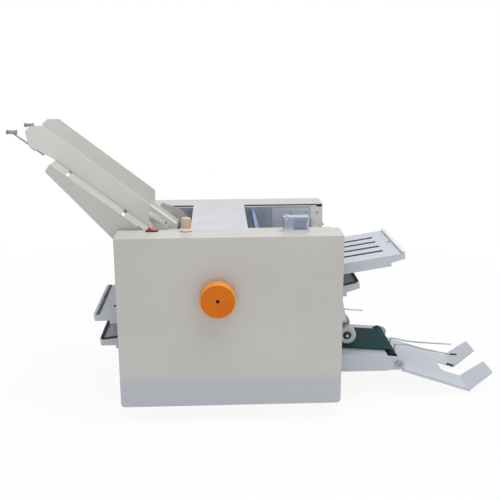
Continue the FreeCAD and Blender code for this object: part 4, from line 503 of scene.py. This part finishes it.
def make_handwheel():
    """A deep moulded wheel with a soft rim, and a slightly dished face plate let into it, with a socket for the
    clamp screw. The rim's moulding is a yellower orange than the face: painted light on its lit side wall."""
    low, high, centre = box_of("handwheel")
    radius = (high.z - low.z) / 2
    back = WHEEL_DEPTH
    rim = [(0, 5.8), (3.5, 5.8), (3.5, 3.0), (30.9, 3.0), (31.1, 0.5), (31.6, 0.35), (32.6, 1.1), (33.2, 2.2),
           (radius, 3.6), (radius, back - 2.6), (33.1, back - 1.2), (32.2, back - 0.4), (31.0, back),
           (13.6, back), (12.4, back + 0.3), (12.0, back + 0.7), (12.0, back + 1.6), (5.2, back + 1.6)]
    face = [(3.5, 2.95), (3.5, 0.9), (4.1, 0.3), (9.2, 0.3), (10.0, 0.9), (24.5, 1.2), (27.0, 0.9),
            (29.0, 0.2), (30.4, 0.15), (30.9, 0.6), (30.95, 2.95), (3.5, 2.95)]
    screw = [(0, 3.2), (1.6, 3.2), (1.9, 2.4), (3.0, 2.4), (3.3, 3.0), (3.3, 5.6)]
    matrix = turn_to((0, 1, 0), (centre.x, low.y, centre.z))
    shape = bmesh.new()
    lathe(shape, rim, matrix, 160)
    piece("handwheel_moulding", shape, "orange_plastic", "roller_1", ["handwheel"], finish=RIM_ORANGE_PAINTED_LIGHT)
    shape = bmesh.new()
    lathe(shape, face, matrix, 160)
    piece("handwheel_face", shape, "orange_plastic", "roller_1")
    shape = bmesh.new()
    lathe(shape, screw, matrix, 40)
    # The clamp screw in dull black: painted shade in the socket
    piece("handwheel_screw", shape, "gear_steel", "roller_1", finish=BLACK_PAINTED_SHADE)


# Press wheels

def make_press_wheels():
    """Soft white tyres on hubs, with a crowned tread and a turned recess."""
    low, high, centre = box_of("press_wheels")
    radius = (high.x - low.x) / 2
    tyre_profile = [(9.0, 1.6), (12.5, 0.9), (15.5, 0.2), (17.4, 0.3), (18.8, 1.4), (19.3, 3.2),
                    (radius, 7.0), (radius, 11.0), (19.3, 14.8), (18.8, 16.6), (17.4, 17.7), (15.5, 17.8),
                    (12.5, 17.1), (9.0, 16.4)]
    hub_profile = [(3.1, 0.6), (5.4, 0.6), (6.0, 1.2), (8.6, 1.3), (9.0, 1.9), (9.0, 16.1), (8.6, 16.7),
                   (3.1, 16.7)]
    tyres = bmesh.new()
    hubs = bmesh.new()
    for side, outer in ((-1, low.y), (1, high.y)):
        matrix = turn_to((0, -side, 0), (centre.x, outer, centre.z))
        lathe(tyres, tyre_profile, matrix, 96)
        lathe(hubs, hub_profile, matrix, 64)
    piece("press_wheel_tyres", tyres, "white_rubber", "press_wheel_pair", ["press_wheels"])
    piece("press_wheel_hubs", hubs, "black_plastic", "press_wheel_pair")


# Pilot lamp

LENS_WALL = 9.5
LENS_STEPS = 72
RIB_DEPTH = 0.45


def make_lamp_lens():
    """A ribbed amber lens with a domed top: every other vertex of its wall is drawn in a little."""
    low, high, centre = box_of("pilot_lamp_lens")
    radius = (high.x - low.x) / 2
    height = high.z - low.z
    profile = [(8.4, 0), (9.9, 0), (radius, 0.5), (radius, 2.4), (LENS_WALL, 3.0), (LENS_WALL, height - 5.0),
               (9.3, height - 3.4), (8.6, height - 1.7), (7.0, height - 0.7), (4.0, height - 0.15), (0, height)]
    shape = bmesh.new()
    lathe(shape, profile, turn_to((0, 0, 1), (centre.x, centre.y, low.z)), LENS_STEPS)
    axis = Vector((centre.x, centre.y, 0)) * MM
    touch = 0.02 * MM
    for vertex in shape.verts:
        outward = Vector((vertex.co.x, vertex.co.y, 0)) - axis
        if abs(outward.length - LENS_WALL * MM) < touch:
            step = round(math.atan2(outward.y, outward.x) / (2 * math.pi) * LENS_STEPS)
            if step % 2:
                vertex.co -= outward.normalized() * RIB_DEPTH * MM
    piece("pilot_lamp_dome", shape, "lamp_lens", "machine", ["pilot_lamp_lens"])


def make_lamp_bezel():
    """A white ring round the lens with a bulb holder inside it, on a thin brown gasket."""
    centre = box_of("pilot_lamp_base")[2]
    matrix = turn_to((0, 0, 1), (centre.x, centre.y, CASING_TOP))
    bezel = [(0, 15.0), (2.6, 15.0), (4.2, 13.6), (4.8, 11.0), (4.8, 5.6), (10.3, 5.6), (11.1, 5.2),
             (11.6, 4.2), (11.6, 1.2), (8.0, 1.2), (8.0, -6.0), (0, -6.0)]
    gasket = [(8.1, 0.05), (11.2, 0.05), (11.5, 0.4), (11.5, 0.9), (11.2, 1.2), (8.1, 1.2)]
    shape = bmesh.new()
    lathe(shape, bezel, matrix, 72)
    piece("pilot_lamp_bezel", shape, "button_white", "machine", ["pilot_lamp_base"], finish=BEZEL_WHITE)
    shape = bmesh.new()
    lathe(shape, gasket, matrix, 72)
    piece("pilot_lamp_gasket", shape, "tan_rubber", "machine", finish=GASKET_BROWN)


# Rocker

ROCKER_RISE = 1.8
ROCKER_HALF_WIDTH = 4.6
ROCKER_END_DROP = 0.5


def make_rocker():
    """The rocker's cap: its left half rises to a soft crest that leans in, its right half lies low."""
    _, high, centre = box_of("rocker")
    pivot_x = box_of("switch_housing")[2].x
    crest = high.z
    base = CASING_TOP + ROCKER_RISE
    profile = [(-8.8, base), (-8.8, base + 1.0), (-7.6, base + 3.7), (-6.6, crest - 0.9), (-6.0, crest - 0.2),
               (-5.2, crest - 0.1), (-4.2, crest - 0.9), (-2.0, crest - 2.9), (0.5, base + 2.3),
               (4.0, base + 1.5), (8.0, base + 1.0), (10.6, base + 0.9), (10.6, base + 0.3), (8.6, base)]
    shape = bmesh.new()
    rings = []
    for side, inset in ((-1, ROCKER_END_DROP), (-0.88, 0.0), (0.88, 0.0), (1, ROCKER_END_DROP)):
        ring = []
        for x, z in profile:
            drop = inset if z > base + ROCKER_END_DROP else 0.0
            across = pivot_x + x * (1 - inset / 20)
            ring.append(shape.verts.new(Vector((across, centre.y + side * ROCKER_HALF_WIDTH, z - drop)) * MM))
        rings.append(ring)
    for near, far in zip(rings, rings[1:]):
        for step in range(len(profile)):
            after = (step + 1) % len(profile)
            shape.faces.new((near[step], far[step], far[after], near[after]))
    shape.faces.new(rings[0])
    shape.faces.new(rings[-1])
    piece("rocker_cap", shape, "red_plastic", "switch_rocker", ["rocker"])


# Fold plates

# For each plate: the side it points to, its mouth's X and Z, its slope in degrees and its level run
PLATES = {
    "1": (1, 8.0, 252.8, 9.0, 345.0),
    "2": (-1, -38.0, 219.0, 7.5, 235.0),
    "3": (1, 8.0, 195.2, 11.7, 255.0),
    "4": (-1, -38.0, 165.0, 7.5, 225.0),
}
# Heights above the line that a sheet takes into a plate, and lengths along it from its mouth or its end rim
DECK_TOP = 3.3
SHADE_STRIP_RISE = 2.4
PLATE_SLOTS = 4
SLOT_PITCH = 38.5
SLOT_START = 26.0
SLOT_END_GAP = 32.0
SLOT_HALF_WIDTH = 9.0
LOWER_SHEET_TOP = -1.78
# Top of the black strips that paint the shade under the deck's slots
SLOT_SHADE_TOP = -1.6
SCREW_END_GAP = 12.0
STRIP_WIDTH = 5.0
EDGE_STRIP_LENGTH = 160.0
EDGE_STRIP_INNER = 97.5
PLATE_CAP_HALF_WIDTH = 105.5
SHORT_SHADE_STRIP_HALF_WIDTH = 104.5
# The two halves of the upper left plate's painted shade strip run between these distances from the middle.
LONG_SHADE_STRIP = (5.0, 101.5)


def plate_matrix(number):
    """The fold plate's own frame: X runs outward from the mouth, Z is square to the deck."""
    side, mouth_x, mouth_z, slope = PLATES[number][:4]
    turn = Matrix.Rotation(-math.radians(slope), 4, "Y")
    flip = Matrix.Diagonal((side, 1, 1, 1))
    return Matrix.Translation(Vector((mouth_x, 0, mouth_z)) * MM) @ turn @ flip


def plate_length(number):
    """A fold plate's length along its slope."""
    slope, run = PLATES[number][3:]
    return run / math.cos(math.radians(slope))


def plate_piece(name, number, shape, slot, finish=None):
    """Move a shape from a fold plate's own frame to its place and make it a piece."""
    shape.transform(plate_matrix(number))
    piece(name, shape, slot, "machine", finish=finish)


def make_plate_screws():
    """One screw in the middle of each plate's deck, close to its end rim."""
    for number in PLATES:
        shape = bmesh.new()
        height = DECK_TOP + (SHADE_STRIP_RISE if number in "34" else 0.0)
        pan_screw(shape, (plate_length(number) - SCREW_END_GAP, 0.0, height), (0, 0, 1), 3.2, 1.4)
        plate_piece("fold_plate_screw_" + number, number, shape, "gear_steel")


def make_plate_slot_shade():
    """Black enamelled strips on the lower sheet: painted shade, which shows dark through the deck's slots."""
    for number in PLATES:
        shape = bmesh.new()
        end = plate_length(number) - SLOT_END_GAP
        for count in range(PLATE_SLOTS):
            y = (count - (PLATE_SLOTS - 1) / 2) * SLOT_PITCH
            rounded_block(shape, (SLOT_START, y - SLOT_HALF_WIDTH, LOWER_SHEET_TOP),
                          (end, y + SLOT_HALF_WIDTH, SLOT_SHADE_TOP), 0)
        plate_piece("fold_plate_slot_shade_" + number, number, shape, "motor_paint")


def make_plate_cap_and_shade_strips():
    """Strips inside or on the end rims: a pale cap on the upper right plate, and dark strips that are painted
    shade inside the rims, grey rubber on the upper left one, black rubber on the two short ones, where it also
    runs along the near and far edges as painted shade."""
    top = DECK_TOP + SHADE_STRIP_RISE
    shape = bmesh.new()
    end = plate_length("1")
    rounded_block(shape, (end - 6.6, -PLATE_CAP_HALF_WIDTH, DECK_TOP + 2.3),
                  (end + 0.6, PLATE_CAP_HALF_WIDTH, DECK_TOP + 4.6), 0.9)
    plate_piece("fold_plate_cap_1", "1", shape, "button_white", PALE_GREY)
    shape = bmesh.new()
    end = plate_length("2") - 6.0
    inner, outer = LONG_SHADE_STRIP
    for low, high in ((-outer, -inner), (inner, outer)):
        rounded_block(shape, (end - STRIP_WIDTH, low, DECK_TOP - 0.1), (end, high, top), 0.6)
    # Grey strip: painted shade inside the upper left plate's rim
    plate_piece("fold_plate_shade_strip_2", "2", shape, "grey_rubber")
    inner, outer = EDGE_STRIP_INNER, SHORT_SHADE_STRIP_HALF_WIDTH
    for number in "34":
        shape = bmesh.new()
        end = plate_length(number) - 1.5
        rounded_block(shape, (end - STRIP_WIDTH, -outer, top), (end, outer, top + 1.8), 0.6)
        for low, high in ((-outer, -inner), (inner, outer)):
            rounded_block(shape, (end - EDGE_STRIP_LENGTH, low, DECK_TOP - 0.1),
                          (end - 4.5, high, top + 0.4), 0.6)
        # Black strips: painted shade inside the short plates' rims and along their near and far edges
        plate_piece("fold_plate_shade_strip_" + number, number, shape, "black_rubber")


# Small parts of the delivery end

TRAY_PIVOT = (351.0, 0.0, 71.0)
TRAY_SLOPE = 18.8
AXLE_CAP = [(0, 1.6), (3.4, 1.5), (4.4, 1.0), (4.6, 0.2), (4.6, 0.0), (0, 0.0)]
# Corners of the black block that paints the shade at the far tab's inner corner
TAB_SHADE_BLOCK = ((150.0, 25.3, -8.1), (165.5, 32.0, -4.8))


def make_delivery_details():
    """Painted caps over the nose roller's axle ends, and a black rubber block at the far tab's inner corner:
    painted shade of the notch's dark inside.
    """
    low, high, centre = box_of("delivery_nose_roller")
    shape = bmesh.new()
    for side, end in ((-1, low.y), (1, high.y)):
        lathe(shape, AXLE_CAP, turn_to((0, side, 0), (centre.x, end, centre.z)), 32)
    piece("nose_axle_caps", shape, "tray_paint", "machine")
    shape = bmesh.new()
    rounded_block(shape, *TAB_SHADE_BLOCK, 0.8)
    tilt = Matrix.Rotation(math.radians(TRAY_SLOPE), 4, "Y")
    shape.transform(Matrix.Translation(Vector(TRAY_PIVOT) * MM) @ tilt)
    piece("tray_tab_shade_block", shape, "black_rubber", "catch_tray")


# Far side wall, seen through the top opening

# Two opposite corners of each plate, and X, Z of its screws
WALL_LINER = ((100.0, 106.9, 282.0), (184.0, 107.9, 364.0))
WALL_PANEL = ((139.0, 106.0, 290.0), (180.0, 107.0, 360.0))
WALL_EDGING = ((185.5, 106.2, 262.0), (212.5, 107.9, 366.0))
EDGING_SCREWS = ((201.0, 354.0), (201.0, 290.0))
PANEL_SCREWS = ((143.5, 354.5), (175.5, 354.5), (143.5, 295.0), (175.5, 295.0))


def make_wall_panels():
    """A painted liner on the far frame plate, a panel on it with four small screws, and a pale edging with
    two larger ones."""
    shape = bmesh.new()
    rounded_block(shape, *WALL_LINER, 0.3)
    piece("far_wall_liner", shape, "plate_paint", "machine", finish=WALL_PAINT)
    shape = bmesh.new()
    rounded_block(shape, *WALL_PANEL, 0.4)
    piece("far_wall_panel", shape, "plate_paint", "machine", finish=WALL_PAINT)
    shape = bmesh.new()
    rounded_block(shape, *WALL_EDGING, 0.5)
    piece("far_wall_edging", shape, "ivory_paint", "machine", finish=GUIDE_PAINT)
    shape = bmesh.new()
    for x, z in EDGING_SCREWS:
        pan_screw(shape, (x, WALL_EDGING[0][1], z), (0, -1, 0), 2.6, 1.2)
    for x, z in PANEL_SCREWS:
        pan_screw(shape, (x, WALL_PANEL[0][1], z), (0, -1, 0), 1.8, 0.9)
    piece("far_wall_screws", shape, "screw_zinc", "machine")


# Counter

FIGURES = 4
FIGURE_PITCH = 4.6
FIGURE_HEIGHT = 3.8
FIRST_WHEEL_OFFSET = 1.0
NUMBER_WHEEL = 3.4
NUMBER_WHEEL_WIDTH = 4.0
# X and Y of two opposite corners of the body and the hood
BODY_CORNERS = ((124.3, -156.2), (147.7, -137.8))
BODY_FOOT = 374.2
HOOD_CORNERS = ((123.5, -156.6), (150.3, -137.4))
HOOD_HEIGHT = 7.7


def make_counter():
    """Number wheels with raised figures under a tinted hood, on a blue moulded body."""
    _, high, centre = box_of("counter_case")
    axle_z = high.z + NUMBER_WHEEL + 0.4
    wheel = [(1.2, 0), (3.0, 0), (NUMBER_WHEEL, 0.4), (NUMBER_WHEEL, NUMBER_WHEEL_WIDTH - 0.4),
             (3.0, NUMBER_WHEEL_WIDTH), (1.2, NUMBER_WHEEL_WIDTH)]
    starts = [centre.x + FIRST_WHEEL_OFFSET + index * FIGURE_PITCH for index in range(FIGURES)]
    shape = bmesh.new()
    for x in starts:
        lathe(shape, wheel, turn_to((1, 0, 0), (x, centre.y, axle_z)), 40)
    piece("counter_number_wheels", shape, "button_white", "machine")
    shape = bmesh.new()
    rounded_block(shape, (*BODY_CORNERS[0], BODY_FOOT), (*BODY_CORNERS[1], high.z + 0.4), 0.8)
    piece("counter_blue_body", shape, "counter_blue", "machine")
    shape = bmesh.new()
    foot = high.z + 0.5
    rounded_block(shape, (*HOOD_CORNERS[0], foot), (*HOOD_CORNERS[1], foot + HOOD_HEIGHT), 1.4)
    piece("counter_blue_hood", shape, "clear_plastic", "machine", finish=BLUE_ACRYLIC)
    for index, x in enumerate(starts):
        figure = bpy.data.curves.new("counter_digit_%d" % (index + 1), "FONT")
        figure.body = "0"
        figure.size = FIGURE_HEIGHT * MM
        figure.align_x = "CENTER"
        figure.align_y = "CENTER"
        figure.extrude = 0.08 * MM
        figure.materials.append(FINISHES["black_plastic"])
        made = bpy.data.objects.new(figure.name, figure)
        scene.collection.objects.link(made)
        place = Vector((x + NUMBER_WHEEL_WIDTH / 2, centre.y - NUMBER_WHEEL - 0.02, axle_z)) * MM
        made.matrix_world = Matrix.Translation(place) @ Matrix.Rotation(math.radians(90), 4, "X")
        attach(made, "machine")


# Support wires

WIRE_FOOT = (357.5, 56.4)
WIRE_RADIUS = 1.5
SLEEVE = [(0, 0), (1.4, 0), (1.9, 0.7), (1.9, 15.8), (1.3, 16.5), (0, 16.5)]
SLEEVE_REACH = 16.6
# For each wire: its Y, its crest, its sleeve's slot and the course of its long arm
WIRE_COURSES = {
    "near": (-22.0, 86.0, "black_plastic",
             [(384.0, 84.5), (411.0, 76.3), (447.9, 67.0), (479.0, 60.0), (496.0, 58.5)]),
    "far": (22.0, 84.0, "white_rubber",
            [(379.9, 79.0), (403.1, 73.8), (437.0, 70.6), (467.1, 68.0), (496.0, 65.8)]),
}


def make_support_wires():
    """Two hand-bent wires that stand in the catch tray, each with a shrunk-on sleeve at its tip."""
    foot_x, foot_z = WIRE_FOOT
    for word, (y, top, sleeve_slot, course) in WIRE_COURSES.items():
        points = [(foot_x, y, foot_z), (foot_x, y, top - 9.0)]
        points += [(foot_x + 0.3, y, top - 1.6), (foot_x + 6.0, y, top)]
        points += [(x, y, z) for x, z in course]
        wire("support_wire_" + word, points, WIRE_RADIUS, "screw_zinc", "catch_tray",
             ["support_wires"] if word == "near" else ())
        (x0, z0), (x1, z1) = course[-2:]
        along = Vector((x1 - x0, 0, z1 - z0)).normalized()
        start = Vector((x1, y, z1)) - along * SLEEVE_REACH
        shape = bmesh.new()
        lathe(shape, SLEEVE, turn_to(along, start), 24)
        piece("wire_sleeve_" + word, shape, sleeve_slot, "catch_tray")


# Studio

SKY_STRENGTH = 0.62
# The studio paper's half width in metres, and how far it lies below the feet
PAPER_HALF = 6.0
PAPER_DROP = 0.2
# How white the paper shows close to the machine and far from it, and those two distances in metres
PAPER_WHITE = (0.92, 1.0)
PAPER_REACH = (0.55, 1.5)
# For each lamp: its place, where it points, its size, all in metres, and its power in watts
LAMPS = (
    ("light_above", (0.45, -0.35, 2.4), (0.05, 0.0, 0.2), 2.2, 33.0),
    ("light_front", (-1.2, -2.6, 1.5), (0.0, 0.0, 0.2), 2.0, 4.5),
)


def ray_kinds(tree):
    """One where a ray comes from the camera or through a mirror or glass, else zero."""
    path = add(tree, "LightPath")
    either = add(tree, "Math", {"operation": "MAXIMUM"},
                 {0: (path, "Is Camera Ray"), 1: (path, "Is Glossy Ray")})
    return add(tree, "Math", {"operation": "MAXIMUM"},
               {0: (either, "Value"), 1: (path, "Is Transmission Ray")})


def make_studio():
    """White paper floor and sky round the machine, one wide lamp above and a weak one in front."""
    world = bpy.data.worlds.new("studio")
    world.use_nodes = True
    scene.world = world
    tree = world.node_tree
    tree.nodes.clear()
    seen = ray_kinds(tree)
    light = add(tree, "Background", {"Color": linear("F4F6FA"), "Strength": SKY_STRENGTH})
    white = add(tree, "Background", {"Color": linear("FFFFFF"), "Strength": 1.0})
    both = add(tree, "MixShader",
               links={0: (seen, "Value"), 1: (light, "Background"), 2: (white, "Background")})
    add(tree, "OutputWorld", links={"Surface": (both, "Shader")})

    paper = bpy.data.materials.new("studio_paper")
    paper.use_nodes = True
    tree = paper.node_tree
    tree.nodes.clear()
    seen = ray_kinds(tree)
    coords = add(tree, "TexCoord")
    fibre = add(tree, "TexNoise", {"Scale": per_mm(3), "Detail": 4.0}, {"Vector": (coords, "Object")})
    tint = add(tree, "ValToRGB", {"stops": [(0.3, linear("F4F4F4")), (0.7, linear("FAFAFA"))]},
               {"Fac": (fibre, "Fac")})
    matt = add(tree, "BsdfDiffuse", links={"Color": (tint, "Color")})
    bright = add(tree, "Emission", {"Color": linear("FFFFFF"), "Strength": 1.0})
    away = add(tree, "VectorMath", {"operation": "LENGTH"}, {0: (coords, "Object")})
    white_share = add(tree, "MapRange",
                      {"From Min": PAPER_REACH[0], "From Max": PAPER_REACH[1],
                       "To Min": PAPER_WHITE[0], "To Max": PAPER_WHITE[1]},
                      {"Value": (away, "Value")})
    share = add(tree, "Math", {"operation": "MULTIPLY"}, {0: (seen, "Value"), 1: (white_share, "Result")})
    both = add(tree, "MixShader", links={0: (share, "Value"), 1: (matt, "BSDF"), 2: (bright, "Emission")})
    add(tree, "OutputMaterial", links={"Surface": (both, "Shader")})
    shape = bmesh.new()
    bmesh.ops.create_grid(shape, x_segments=2, y_segments=2, size=PAPER_HALF)
    mesh = bpy.data.meshes.new("studio_floor")
    shape.to_mesh(mesh)
    shape.free()
    mesh.materials.append(paper)
    floor = bpy.data.objects.new("studio_floor", mesh)
    floor.location.z = -PAPER_DROP * MM
    scene.collection.objects.link(floor)

    for name, place, aim, size, power in LAMPS:
        data = bpy.data.lights.new(name, "AREA")
        data.size = size
        data.energy = power
        lamp = bpy.data.objects.new(name, data)
        direction = Vector(aim) - Vector(place)
        turn = direction.to_track_quat("-Z", "Y").to_matrix().to_4x4()
        lamp.matrix_world = Matrix.Translation(Vector(place)) @ turn
        scene.collection.objects.link(lamp)


place_camera()
make_handwheel()
make_press_wheels()
make_lamp_lens()
make_lamp_bezel()
make_rocker()
make_plate_screws()
make_plate_slot_shade()
make_plate_cap_and_shade_strips()
make_delivery_details()
make_wall_panels()
make_counter()
make_support_wires()
make_studio()

scene.view_settings.view_transform = "Standard"
